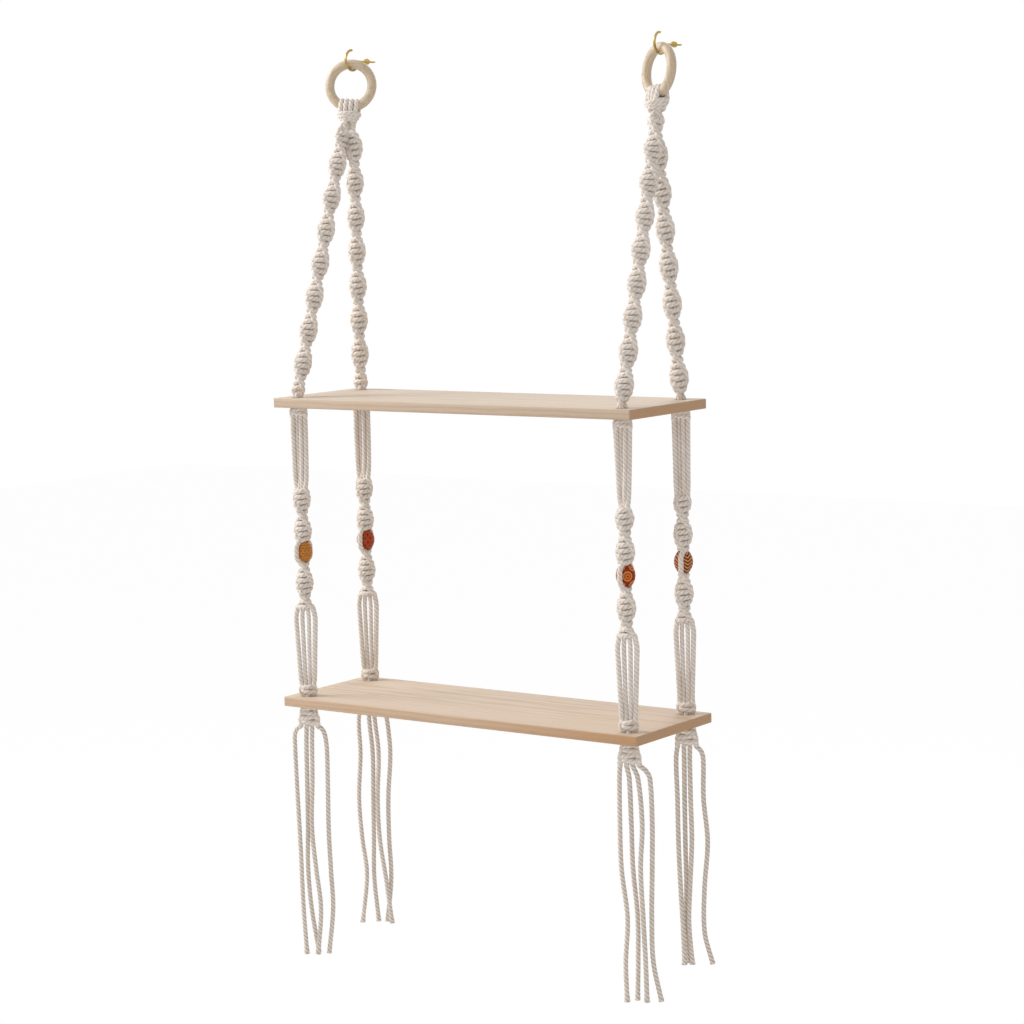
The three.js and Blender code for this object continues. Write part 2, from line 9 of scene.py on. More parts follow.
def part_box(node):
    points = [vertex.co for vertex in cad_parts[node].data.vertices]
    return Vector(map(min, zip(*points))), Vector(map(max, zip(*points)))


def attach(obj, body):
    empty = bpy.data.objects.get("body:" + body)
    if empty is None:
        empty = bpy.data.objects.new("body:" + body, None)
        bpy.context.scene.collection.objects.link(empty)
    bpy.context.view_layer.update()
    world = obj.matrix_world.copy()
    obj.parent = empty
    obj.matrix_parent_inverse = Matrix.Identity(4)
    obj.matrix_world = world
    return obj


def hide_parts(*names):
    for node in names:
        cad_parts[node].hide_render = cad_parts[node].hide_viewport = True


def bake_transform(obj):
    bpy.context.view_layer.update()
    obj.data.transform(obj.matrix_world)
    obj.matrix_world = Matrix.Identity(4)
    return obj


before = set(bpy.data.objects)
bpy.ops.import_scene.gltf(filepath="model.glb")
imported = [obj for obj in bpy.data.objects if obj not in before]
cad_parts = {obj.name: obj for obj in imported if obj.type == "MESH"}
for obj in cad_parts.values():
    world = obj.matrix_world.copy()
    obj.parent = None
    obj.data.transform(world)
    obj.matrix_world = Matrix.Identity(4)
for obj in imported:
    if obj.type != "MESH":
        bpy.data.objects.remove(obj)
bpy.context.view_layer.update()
mm = 0.001

# Camera, lamps and floor. The shelf is seen from its right, a little from above, through a long
# lens. A large soft lamp stands high on the left, a weak one fills from the right, and a third
# lights the rear. The floor is pale and lies well below the tails.
eye = Vector((1.7066, -2.3882, -0.1242))
eye_yaw = math.radians(35.85)
eye_pitch = math.radians(6.86)
eye_roll = math.radians(-1.47)
focal_length = 98.6

lens = bpy.data.cameras.new("camera")
lens.lens = focal_length
lens.sensor_width = 36
lens.clip_end = 50
camera = bpy.data.objects.new("camera", lens)
bpy.context.scene.collection.objects.link(camera)
ahead = Vector((
    -math.sin(eye_yaw) * math.cos(eye_pitch),
    math.cos(eye_yaw) * math.cos(eye_pitch),
    -math.sin(eye_pitch),
))
level = Vector((math.cos(eye_yaw), math.sin(eye_yaw), 0))
upright = level.cross(ahead)
rolled_right = math.cos(eye_roll) * level + math.sin(eye_roll) * upright
rolled_up = math.cos(eye_roll) * upright - math.sin(eye_roll) * level
facing = Matrix((rolled_right, rolled_up, -ahead)).transposed().to_4x4()
camera.matrix_world = Matrix.Translation(eye) @ facing
bpy.context.scene.camera = camera
bpy.context.scene.view_settings.view_transform = "Standard"

# Each lamp's place, its width and its power.
lamps = {
    "key_lamp": ((-2.3, -1.1, 1.3), 1.4, 74),
    "fill_lamp": ((1.6, -2.6, 0.5), 1.8, 8),
    "rear_lamp": ((-0.4, 2.2, 1.0), 1.8, 16),
}
shelf_middle = Vector((0, -0.07, -0.5))
for name, (place, size, power) in lamps.items():
    lamp = bpy.data.lights.new(name, "AREA")
    lamp.shape = "DISK"
    lamp.size = size
    lamp.energy = power
    holder = bpy.data.objects.new(name, lamp)
    holder.location = place
    holder.rotation_euler = (shelf_middle - Vector(place)).to_track_quat("-Z", "Y").to_euler()
    bpy.context.scene.collection.objects.link(holder)


def feed(socket, value):
    """Sets a node's input to a value, or links it to another node's output."""
    if isinstance(value, bpy.types.NodeSocket):
        socket.id_data.links.new(value, socket)
    else:
        socket.default_value = value


def node(tree, kind, **values):
    """A new node in a tree, with its inputs fed by name."""
    made = tree.nodes.new(kind)
    for key, value in values.items():
        feed(made.inputs[key.replace("_", " ")], value)
    return made


def maths(tree, operation, *terms):
    """A Math node's result, from numbers and other nodes' results."""
    made = tree.nodes.new("ShaderNodeMath")
    made.operation = operation
    for socket, term in zip(made.inputs, terms):
        feed(socket, term)
    return made.outputs[0]


def new_material(name):
    """A new material, its node tree and its shader."""
    made = bpy.data.materials.new(name)
    made.use_nodes = True
    return made, made.node_tree, made.node_tree.nodes["Principled BSDF"]


def show(tree, share, first, second, output):
    """Shows two shaders at the tree's output, from the first to the second by a share."""
    mix = node(tree, "ShaderNodeMixShader")
    for socket, value in zip(mix.inputs, (share, first.outputs[0], second.outputs[0])):
        feed(socket, value)
    feed(tree.nodes[output].inputs["Surface"], mix.outputs[0])


white = (1, 1, 1, 1)
room_tone = (1, 0.985, 0.965, 1)
room_strength = 0.6
floor_height = -1.25
floor_tone = (0.86, 0.86, 0.86, 1)
floor_glow = 0.97

world = bpy.data.worlds.new("studio")
bpy.context.scene.world = world
world.use_nodes = True
tree = world.node_tree
room_light = tree.nodes["Background"]
feed(room_light.inputs["Color"], room_tone)
feed(room_light.inputs["Strength"], room_strength)
backdrop = node(tree, "ShaderNodeBackground", Color=white, Strength=1)
ray = node(tree, "ShaderNodeLightPath").outputs
seen = maths(tree, "MAXIMUM", ray["Is Camera Ray"], ray["Is Glossy Ray"])
show(tree, seen, room_light, backdrop, "World Output")

bpy.ops.object.select_all(action="DESELECT")
bpy.ops.mesh.primitive_plane_add(size=12, location=(0, 0, floor_height))
floor = bpy.context.object
floor.name = "floor"
floor_paint, tree, shader = new_material("floor_paint")
feed(shader.inputs["Base Color"], floor_tone)
feed(shader.inputs["Roughness"], 0.9)
glow = node(tree, "ShaderNodeEmission", Color=white)
ray = node(tree, "ShaderNodeLightPath").outputs
seen = maths(tree, "MULTIPLY", ray["Is Camera Ray"], floor_glow)
show(tree, seen, shader, glow, "Material Output")
floor.data.materials.append(floor_paint)

# Loose tails: the ends of the four cords of each leg below its last knot, three-ply cotton cord of
# 5 mm. Each hangs free by its own weight and keeps the bends that it took in its packing.
cord_width = 5 * mm
lay_length = 13.5 * mm
plies = 3
ply_points = 5
ply_roundness = 2.4
groove_depth = 0.11
# Painted shade at each cord's two tip points, as a share of the groove shade tone.
end_groove_shade = 0.7
fray_length = 2.4
top_dome = 0.2
foot_dome = 0.12
line_step = 1 * mm
yarn_size = 10 * mm
legs = ("front_left", "back_left", "front_right", "back_right")
knot_face = math.radians(24)
touch_gap = 0.3 * mm
tail_starts = (-8.5, -2.7, 2.7, 8.5)
# Extra painted groove shade on the tails, which darkens them all over.
tail_extra_groove_shade = 0.6
least_frayed = 0.14
most_frayed = 0.4

# Places across the knot, through it, and down from it, in millimetres. All tails come out of the
# knot alike: at a share of their start across it, and at a height.
tail_leads = ((0.7, -10), (1, -4), (1.12, 0.5))
tail_routes = {
    "front_left": (
        ((-13.4, 0, 3), (-16.4, 0, 9), (-16.8, 0, 22), (-16, -1, 60), (-14, -2, 130),
         (-12.7, -3, 200), (-10.5, -3, 250)),
        ((-4, 0, 18), (-4.8, 1, 60), (-6, 2, 110), (-7.8, 3, 155), (-5.5, 3, 200), (1, 4, 250)),
        ((2.3, 0, 18), (1.5, -1, 60), (-0.5, -2, 110), (2.5, -2, 155), (6.5, -2, 200), (2, -3, 250)),
        ((13.4, 0, 3), (16.6, 0, 9), (18.4, 0, 24), (18, 1, 60), (17, 2, 115), (18, 2, 160),
         (19, 2, 200), (13, 2, 250)),
    ),
    "back_left": (
        ((-14.3, 0, 9), (-13.5, -1, 50), (-16.5, -2, 100), (-14, -3, 145), (-10, -3, 185),
         (-16.5, -3, 240)),
        ((-2.5, 0, 14), (0, 1, 50), (-1.2, 2, 100), (-2, 2, 145), (-3, 2, 190), (0.5, 3, 240)),
        ((4, 0, 14), (7.2, -1, 50), (4.8, -2, 100), (6, -3, 145), (12, -4, 190), (17.5, -4, 240)),
        ((16, 0, 7), (18, 0, 14), (20, 1, 50), (16, 2, 100), (15.5, 2, 145), (16.5, 2, 190),
         (10.5, 3, 240)),
    ),
    "front_right": (
        ((-10.5, 0, 14), (-10.8, -1, 60), (-10, -2, 105), (-5, -2, 155), (-7.5, -3, 200),
         (-6.8, -3, 240)),
        ((-0.6, 0, 14), (0, 3, 60), (0.5, 4, 105), (4.2, 4, 155), (3.8, 4, 200), (2.6, 4, 240)),
        ((8, 0, 14), (11.5, -1, 60), (9.2, -2, 105), (10.8, -2, 155), (12.4, -2, 200), (13, -2, 240)),
        ((16, 0, 6), (20, 0, 14), (21.3, 1, 60), (20.2, 2, 105), (18.8, 2, 155), (19.5, 2, 200),
         (27, 2, 240)),
    ),
    "back_right": (
        ((-11.3, 0, 14), (-10.5, -1, 55), (-10, -3, 100), (-8.6, -4, 145), (-6.8, -4, 190),
         (-5.8, -4, 228)),
        ((-3, 0, 14), (-3.6, 2, 55), (-3.8, 3, 100), (-3.6, 3, 145), (-4.4, 3, 190), (-1.8, 4, 228)),
        ((2.7, 0, 14), (3, -1, 55), (3.6, -2, 100), (1, -2, 145), (-0.8, -2, 185), (2, -2, 228)),
        ((14.5, 0, 6), (16.5, 0, 14), (16, 1, 55), (19.3, 2, 100), (15.2, 2, 150), (14.6, 2, 195),
         (22.5, 2, 228)),
    ),
}


def srgb(red, green, blue):
    """A colour as a screen shows it, from 0 to 255, as the renderer counts it."""
    parts = [c / 255 for c in (red, green, blue)]
    return (*[c / 12.92 if c <= 0.04045 else ((c + 0.055) / 1.055) ** 2.4 for c in parts], 1)


def on_leg(leg, across, through, z, turn=knot_face):
    """A place on a leg: across its flat knots, through them, and at a height."""
    low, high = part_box(leg + "_bead")
    middle = (low + high) / 2
    x = middle.x + across * math.cos(turn) - through * math.sin(turn)
    return (x, middle.y + across * math.sin(turn) + through * math.cos(turn), z)


def smooth(points, relaxed=0):
    """Evenly spaced places on a smooth curve through the points, relaxed as a real cord is."""
    p = np.asarray(points, float)
    gap = np.linalg.norm(np.diff(p, axis=0), axis=1)
    run = np.concatenate([[0], np.cumsum(gap)])
    slope = np.diff(p, axis=0) / gap[:, None]
    inner = (p[2:] - p[:-2]) / (gap[:-1] + gap[1:])[:, None]
    tangent = np.vstack([slope[:1], inner, slope[-1:]])
    places = np.linspace(0, run[-1], int(4 * run[-1] / line_step) + 8)
    k = np.clip(np.searchsorted(run, places, side="right") - 1, 0, len(gap) - 1)
    t = ((places - run[k]) / gap[k])[:, None]
    h = gap[k][:, None]
    fine = (2 * t**3 - 3 * t**2 + 1) * p[k] + (t**3 - 2 * t**2 + t) * h * tangent[k]
    fine += (3 * t**2 - 2 * t**3) * p[k + 1] + (t**3 - t**2) * h * tangent[k + 1]
    so_far = np.concatenate([[0], np.cumsum(np.linalg.norm(np.diff(fine, axis=0), axis=1))])
    even = np.linspace(0, so_far[-1], max(2, round(so_far[-1] / line_step)) + 1)
    line = np.column_stack([np.interp(even, so_far, fine[:, i]) for i in range(3)])
    for _ in range(relaxed):
        line[1:-1] = (line[:-2] + 2 * line[1:-1] + line[2:]) / 4
    return line


def laid_cord(line, width, turn, flare):
    """One three-ply cord round a line: its corners, the run along it and how deep each corner lies
    between two plies. The corners follow the plies, and a flare opens the plies at its foot."""
    count = plies * ply_points
    forward = np.gradient(line, axis=0)
    forward /= np.linalg.norm(forward, axis=1)[:, None]
    across = np.zeros((len(line), 3))
    first = np.cross(forward[0], (0.31, 0.17, 0.94))
    across[0] = first / np.linalg.norm(first)
    for i in range(1, len(line)):
        v = across[i - 1] - forward[i] * (across[i - 1] @ forward[i])
        across[i] = v / np.linalg.norm(v)
    side = np.cross(forward, across)
    run = np.concatenate([[0], np.cumsum(np.linalg.norm(np.diff(line, axis=0), axis=1))])
    within = (np.arange(count) % ply_points) / ply_points
    dip = np.abs(2 * within - 1) ** ply_roundness
    angle = 2 * np.pi * (np.arange(count) / count - run[:, None] / lay_length) + turn
    opened = 1 + flare * np.clip(1 - (run[-1] - run) / (fray_length * width), 0, 1)[:, None] ** 2
    reach = width / 2 * opened * (1 - groove_depth * opened**3 * dip)
    ring = np.cos(angle)[:, :, None] * across[:, None, :]
    ring += np.sin(angle)[:, :, None] * side[:, None, :]
    top = line[0] - top_dome * width * forward[0]
    foot = line[-1] + foot_dome * width * forward[-1]
    return line[:, None, :] + reach[:, :, None] * ring, np.stack([top, foot]), run, dip


def cord_piece(name, cords, body, nodes, extra_groove_shade=0):
    """A piece made of laid cords, each a line, a width, a starting turn and a flare at its foot. It
    rides on a body, or on none, and extra groove shade darkens it all over with painted shade."""
    places = []
    faces = []
    spread = []
    groove_shades = []
    base = 0
    for line, width, turn, flare in cords:
        corners, tips, run, dip = laid_cord(line, width, turn, flare)
        n, count = corners.shape[:2]
        i = np.arange(n - 1)[:, None] * count
        j = np.arange(count)[None, :]
        k = (j + 1) % count
        quads = np.stack([i + j, i + k, i + count + k, i + count + j], axis=-1).reshape(-1, 4)
        last = (n - 1) * count
        j = j[0]
        k = k[0]
        top = np.column_stack([np.full(count, n * count), k, j])
        foot = np.column_stack([np.full(count, n * count + 1), last + j, last + k])
        faces += (quads + base).tolist() + (top + base).tolist() + (foot + base).tolist()
        u = np.arange(count + 1) / count * np.pi * width / yarn_size
        v = run / yarn_size
        u0, v0 = np.broadcast_arrays(u[None, :-1], v[:-1, None])
        u1, v1 = np.broadcast_arrays(u[None, 1:], v[1:, None])
        spread.append(np.stack([u0, v0, u1, v0, u1, v1, u0, v1], axis=-1).reshape(-1, 2))
        for end in (v[0], v[-1]):
            flat = np.full(count, end)
            middle = (u[:-1] + u[1:]) / 2
            cap = [middle, flat + 0.2, u[:-1], flat, u[1:], flat]
            spread.append(np.stack(cap, axis=-1).reshape(-1, 2))
        places += [corners.reshape(-1, 3), tips]
        # Painted shade: each corner's share of the groove shade tone, from how deep it lies between two
        # plies, raised by any extra groove shade, and fixed at the two tips.
        groove_shades += [0.4 * extra_groove_shade + (1 + extra_groove_shade) * np.tile(dip, n), [end_groove_shade, end_groove_shade]]
        base += n * count + 2
    mesh = bpy.data.meshes.new(name)
    mesh.from_pydata(np.concatenate(places).tolist(), [], faces)
    mesh.uv_layers.new(name="UVMap").data.foreach_set("uv", np.concatenate(spread).ravel())
    mesh.attributes.new("groove", "FLOAT", "POINT").data.foreach_set("value", np.concatenate(groove_shades))
    mesh.shade_smooth()
    mesh.materials.append(cotton)
    piece = bpy.data.objects.new(name, mesh)
    bpy.context.scene.collection.objects.link(piece)
    if body:
        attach(piece, body)
    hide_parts(*nodes)
    return piece


# The cotton: soft cream yarn with fine fibres along the cord, and painted shade in its grooves.
fibre_turn = -math.atan(math.pi * cord_width / lay_length)
fibre_size = (0.016, 0.3, 1)
cotton_bare = srgb(243, 236, 229)
# The tone of the painted shade between the plies.
cotton_groove_shade = srgb(160, 140, 121)
cotton_dull = srgb(218, 206, 195)


def blend_colours(tree, share, first, second):
    """A colour from first to second, by a share between 0 and 1."""
    made = node(tree, "ShaderNodeMix")
    made.data_type = "RGBA"
    for key, value in (("Factor", share), ("A", first), ("B", second)):
        feed(made.inputs[key], value)
    return made.outputs["Result"]


cotton, tree, shader = new_material("natural_cotton")
feed(shader.inputs["Roughness"], 0.95)
feed(shader.inputs["Sheen Weight"], 0.15)
feed(shader.inputs["Sheen Roughness"], 0.5)
feed(shader.inputs["Specular IOR Level"], 0.2)
cord_uv = node(tree, "ShaderNodeUVMap")
cord_uv.uv_map = "UVMap"
fibre_place = node(tree, "ShaderNodeMapping", Rotation=(0, 0, fibre_turn), Scale=fibre_size)
fibre_place.vector_type = "TEXTURE"
feed(fibre_place.inputs["Vector"], cord_uv.outputs[0])
fibre = node(tree, "ShaderNodeTexNoise", Vector=fibre_place.outputs[0], Scale=1, Detail=3, Roughness=0.6)
where = node(tree, "ShaderNodeTexCoord").outputs["Object"]
mottle = node(tree, "ShaderNodeTexNoise", Vector=where, Scale=70, Detail=2)
# Painted shade: the groove attribute darkens the colour towards the groove shade tone between the plies.
groove = node(tree, "ShaderNodeAttribute")
groove.attribute_name = "groove"
dull_share = maths(tree, "MULTIPLY", mottle.outputs[0], fibre.outputs[0])
worn = blend_colours(tree, maths(tree, "MULTIPLY", dull_share, 1.6), cotton_bare, cotton_dull)
groove_shade_share = maths(tree, "MULTIPLY", groove.outputs["Fac"], 0.45)
feed(shader.inputs["Base Color"], blend_colours(tree, groove_shade_share, worn, cotton_groove_shade))
bump = node(tree, "ShaderNodeBump", Strength=0.6, Distance=0.12 * mm, Height=fibre.outputs[0])
feed(shader.inputs["Normal"], bump.outputs[0])

for leg in legs:
    knot_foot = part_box(leg + "_tail_knot")[0].z - touch_gap
    for number, (start, route) in enumerate(zip(tail_starts, tail_routes[leg]), 1):
        points = [*((share * start, 0, drop) for share, drop in tail_leads), *route]
        line = smooth([on_leg(leg, a * mm, t * mm, knot_foot - drop * mm) for a, t, drop in points])
        name = f"{leg}_tail_{number}"
        varied = 0.09 * (7 * number + 3 * len(leg)) % (most_frayed - least_frayed)
        frayed = least_frayed + varied
        cords = [(line, cord_width, number, frayed)]
        tail = cord_piece(name + "_cord", cords, "lower_shelf", [name], tail_extra_groove_shade)

# Tail knots: two square knots of the same cotton cord under the lower board on each leg, pulled
# tight against it. They widen downwards, and the four cords come through the board's hole to them.
knotted_width = 5.4 * mm
core_width = 4.6 * mm
core_offset = 2.1 * mm
hole_reach = 3.5 * mm
hole_gap = 0.6 * mm
hole_lead = 3 * mm
below_knot = 2 * mm
tail_halves = (1, -1, 1, -1)

# One cord's way through a half knot that it starts at the left: shares of the half width, of the
# half depth towards the viewer, and of the knot's height above its middle.
half_knot = (
    (-1.00, -0.35, 0.38),
    (-1.03, -0.28, 0.04),
    (-0.84, 0.20, -0.24),
    (-0.52, 0.88, -0.16),
    (0.00, 1.06, -0.04),
    (0.54, 0.90, 0.08),
    (0.72, 0.00, 0.20),
    (0.99, -0.35, -0.08),
    (1.06, 0.05, -0.36),
)


def half_knots(start, end, ways, turns, width_at, depth_at):
    """The routes of the four cords through a run of half knots: two that are tied and two that
    run straight in the core. A way of 1 or -1 says which of the two cords lies over the front,
    and the turns are the directions in which the knots begin and end."""
    start = np.asarray(start, float)
    down = np.asarray(end, float) - start
    length = np.linalg.norm(down)
    down /= length
    across = np.array([1.0, 0, 0]) - down[0] * down
    across /= np.linalg.norm(across)
    side = np.cross(across, down)
    rise = length / len(ways)

    def place(share, u, v):
        angle = np.interp(share, range(len(turns)), turns)
        wide = np.cos(angle) * across + np.sin(angle) * side
        deep = np.sin(angle) * across - np.cos(angle) * side
        return start + share * rise * down + u * wide + v * deep

    routes = []
    for hand in (-1, 1):
        route = []
        for n, way in enumerate(ways):
            for x, y, z in half_knot:
                share = n + 0.5 - z
                run = share * rise
                route.append(place(share, -hand * x * width_at(run), -hand * way * y * depth_at(run)))
            hand = -hand
        routes.append(route)
    for hand in (-1, 1):
        routes.append([place(n, hand * core_offset, 0) for n in range(len(ways) + 1)])
    return routes


def swelling(low, high, reach):
    """From low to high over a reach, slowly at both ends."""
    def value(run):
        share = min(max(run / reach, 0), 1)
        return low + (high - low) * share * share * (3 - 2 * share)
    return value


def in_hole(leg, angle, heights, reach=hole_reach):
    """One of four cords where they pass a hole side by side, at a direction round the leg."""
    return [on_leg(leg, reach * math.cos(angle), reach * math.sin(angle), z, 0) for z in heights]


def steady(first, each, count):
    """The directions of half knots that all turn alike."""
    return [first + k * each for k in range(count + 1)]


# Where the four cords lie side by side: across the leg in shares of the spread, and through it in
# shares of a cord's radius. The first two are the tied ones, which have the others between them.
strand_shares = ((-1, 0), (1, 0), (-1 / 3, 1), (1 / 3, -1))
cord_ways = (math.pi, 0, 0.5 * math.pi, -0.5 * math.pi)
cord_widths = (knotted_width, knotted_width, core_width, core_width)


def knot_under(board, leg, part, under, above, halves, wide, deep, ends):
    """A leg's four cords down through a board's hole and a knot that begins just under the board
    and stops just above its node's foot. The ends are where they go on, across and through it."""
    low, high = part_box(leg + part)
    board_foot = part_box(board)[0].z
    top = on_leg(leg, 0, 0, board_foot - under)
    foot = on_leg(leg, 0, 0, low.z + above)
    turns = steady(knot_face, 0, len(halves))
    routes = half_knots(top, foot, halves, turns, wide, deep)
    cords = []
    for k in range(4):
        lead = in_hole(leg, knot_face + cord_ways[k], (high.z - hole_gap, board_foot + hole_lead))
        ending = [on_leg(leg, *ends[k], low.z - below_knot)]
        cords.append((smooth(lead + routes[k] + ending, 3), cord_widths[k], k, 0))
    return cords


wide = swelling(6 * mm, 9.2 * mm, 17 * mm)
deep = swelling(3.4 * mm, 3.8 * mm, 17 * mm)
outer = 1.1 * tail_starts[3] * mm
inner = tail_starts[2] * mm
ends = ((-outer, 0), (outer, 0), (-inner, 0), (inner, 0))
for leg in legs:
    cords = knot_under("lower_board", leg, "_tail_knot", 0.4 * mm, 2 * mm, tail_halves, wide, deep, ends)
    cord_piece(leg + "_tail_knot_cords", cords, "lower_shelf", [leg + "_tail_knot"])

# Stop knots: one square knot of the same four cotton cords under the upper board on each leg, on
# which the board rests. The cords come down to it through the board's hole.
stop_halves = (1, -1)
drop_spread = 6.9 * mm
wide = swelling(6.6 * mm, 7.1 * mm, 6 * mm)
deep = swelling(3.4 * mm, 3.6 * mm, 6 * mm)
ends = [(a * drop_spread, t * cord_width / 4) for a, t in strand_shares]
for leg in legs:
    cords = knot_under("upper_board", leg, "_stop_knot", 0.6 * mm, 1 * mm, stop_halves, wide, deep, ends)
    cord_piece(leg + "_stop_knot_cords", cords, "upper_shelf", [leg + "_stop_knot"])

# Cords between the boards: on each leg four unbroken cotton cords, which hang straight below the
# stop knot, run through two bulges of half-knot spiral, pass the bead, and stand on the lower board
# after one more bulge and a loose flare. Two are tied and two stay in the core and in the bead.
spiral_degrees = 30
spiral_turn = math.radians(spiral_degrees)
bead_spiral_knots = 10
low_spiral_knots = 9
knot_rise = 5.7 * mm
first_turns = (1, 18, 41)
later_turn = 71
spiral_ahead = {"front_left": 0, "back_left": 0, "front_right": 0, "back_right": 26}
drop_narrowed = {"front_left": 1, "back_left": 1, "front_right": 0.68, "back_right": 0.84}
pass_ways = {"front_left": -86, "back_left": -81, "front_right": -84, "back_right": -70}
low_turn = math.radians(281)
spiral_half_width = 7.05 * mm
spiral_half_depth = 3.4 * mm
spiral_start_wide = 6.4 * mm
upper_deep = swelling(3 * mm, spiral_half_depth, 8 * mm)
first_wide = swelling(6.2 * mm, spiral_half_width, 6 * mm)
low_deep = swelling(3 * mm, spiral_half_depth, 6 * mm)
rest_wide = swelling(6.8 * mm, 7.4 * mm, 5 * mm)
rest_deep = swelling(3.4 * mm, 3.8 * mm, 5 * mm)
bead_reach = 12.45 * mm
bead_end_reach = 0.97 * bead_reach
bead_inset = 4 * mm
core_inset = 3 * mm
rest_knot_halves = (1, -1)
flare_spreads = {"front_left": 10.3, "back_left": 9.6, "front_right": 9.5, "back_right": 8.8}
flare_places = ((-1, 0), (1, 0), (-0.34, 0.4), (0.34, -0.4))
flare_begins = 38 * mm
rest_knot_rise = 12 * mm
rest_knot_height = 10 * mm
stand_reach = 3.7 * mm
stand_heights = (0.4 * mm, -1.2 * mm)
# Extra painted groove shade on the cords between the boards, which darkens them all over.
leg_extra_groove_shade = 0.12

# Down a run of strands: shares of the spread and of a cord's radius, how far down the run, and how
# far the run has turned.
drop_shares = ((1, 0.5, 0.02, 0), (1, 0.5, 0.35, 0.1), (1, 0.5, 0.65, 0.4), (1, 0.6, 0.88, 0.85))
flare_shares = (
    (0.88, 0.8, 0.02, 0),
    (1.02, 0.6, 0.11, 0),
    (0.98, 0.5, 0.28, 0),
    (0.88, 0.5, 0.55, 0),
    (0.74, 0.6, 0.92, 0),
)


def strand(leg, share, spread, top, foot, turns, rows, narrowed=1):
    """One loose cord's places between two knots, closer to the others at the foot if narrowed."""
    points = []
    for wide, deep, drop, turned in rows:
        turn = turns[0] + turned * (turns[1] - turns[0])
        z = top + drop * (foot - top)
        across = share[0] * wide * spread * (1 + (narrowed - 1) * drop)
        points.append(on_leg(leg, across, share[1] * deep * cord_width / 2, z, turn))
    return points


for leg in legs:
    bead_low, bead_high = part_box(leg + "_bead")
    spiral_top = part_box(leg + "_drop_strands")[0].z - touch_gap
    spiral_foot = bead_high.z + touch_gap
    low_top = bead_low.z - touch_gap
    low_foot = low_top - low_spiral_knots * knot_rise
    rest_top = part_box(leg + "_flared_strands")[0].z + rest_knot_rise
    board_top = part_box("lower_board")[1].z
    knot_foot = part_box(leg + "_stop_knot")[0].z

    degrees = [*first_turns, *(later_turn + spiral_degrees * k for k in range(bead_spiral_knots - 2))]
    turns = [math.radians(d + spiral_ahead[leg]) for d in degrees]
    narrowed = drop_narrowed[leg]
    start_wide = narrowed * spiral_start_wide
    upper_wide = swelling(start_wide, spiral_half_width, (20 - 12 * narrowed) * mm)
    ends = (on_leg(leg, 0, 0, spiral_top), on_leg(leg, 0, 0, spiral_foot))
    upper = half_knots(*ends, [1] * bead_spiral_knots, turns, upper_wide, upper_deep)
    ends = (on_leg(leg, 0, 0, low_top), on_leg(leg, 0, 0, low_foot))
    flare_spread = flare_spreads[leg] * mm
    opened = swelling(0, 0.84 * flare_spread - spiral_half_width, 12 * mm)

    def low_wide(run):
        return first_wide(run) + opened(run - flare_begins)

    flare_turn = knot_face + 3 * math.pi
    lower_turns = steady(low_turn, spiral_turn, low_spiral_knots - 2)
    lower_turns += [(lower_turns[-1] + flare_turn) / 2, flare_turn]
    lower = half_knots(*ends, [1] * low_spiral_knots, lower_turns, low_wide, low_deep)
    ends = (on_leg(leg, 0, 0, rest_top), on_leg(leg, 0, 0, rest_top - rest_knot_height))
    rest_turns = steady(flare_turn, 0, len(rest_knot_halves))
    rest = half_knots(*ends, rest_knot_halves, rest_turns, rest_wide, rest_deep)
    cords = []
    for k in range(4):
        share = strand_shares[k]
        across = share[0] * drop_spread
        through = share[1] * cord_width / 4
        points = [on_leg(leg, across, through, knot_foot + rise * mm) for rise in (3, 0)]
        around = (knot_face, turns[0])
        points += strand(leg, share, drop_spread, knot_foot, spiral_top, around, drop_shares, narrowed)
        points += upper[k]
        way = math.radians(pass_ways[leg])
        if k < 2:
            way += math.pi if k == 0 else 0
            points += in_hole(leg, way, (bead_high.z - bead_inset,), bead_end_reach)
            points += in_hole(leg, way, ((bead_high.z + bead_low.z) / 2,), bead_reach)
            points += in_hole(leg, way, (bead_low.z + bead_inset,), bead_end_reach)
        else:
            way += (-0.5 if k == 2 else 0.5) * math.pi
            heights = (bead_high.z - core_inset, bead_low.z + core_inset)
            points += in_hole(leg, way, heights, core_width / 2)
        points += lower[k]
        now = 1 - k if k < 2 else k
        around = (flare_turn, 0)
        points += strand(leg, flare_places[now], flare_spread, low_foot, rest_top, around, flare_shares)
        points += rest[now]
        stands = [board_top + above for above in stand_heights]
        points += in_hole(leg, flare_turn + cord_ways[now], stands, stand_reach)
        cords.append((smooth(points, 3), cord_widths[k], k, 0))
    nodes = [leg + part for part in ("_drop_strands", "_bead_spiral", "_low_spiral", "_flared_strands")]
    piece = cord_piece(leg + "_lower_leg_cords", cords, None, nodes, leg_extra_groove_shade)
    bend_start = on_leg(leg, 0, 0, knot_foot)
    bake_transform(piece)

# Upper sinnets: on each leg the four cotton cords run from the wrap under the ring to the upper
# board as one long spiral of half knots, two tied over and over round the other two. They fan out
# to the board's front and back edge, and their ring leans a little off the wall.
hook_apart = 390 * mm
hook_reach = 26.5 * mm
ring_hang = 3.1 * mm
ring_lean = math.radians(8.5)
wrap_foot = 68.1 * mm
sinnet_start = 73.95 * mm
end_spread = 5.6 * mm
end_turn = math.radians(40)
top_deep = swelling(3.1 * mm, spiral_half_depth, 12 * mm)
foot_wide = swelling(5.6 * mm, spiral_half_width, 7 * mm)
foot_deep = swelling(3.2 * mm, spiral_half_depth, 7 * mm)
foot_gap = 6.5 * mm
foot_reach = 3.3 * mm
foot_heights = (2 * mm, -0.2 * mm)
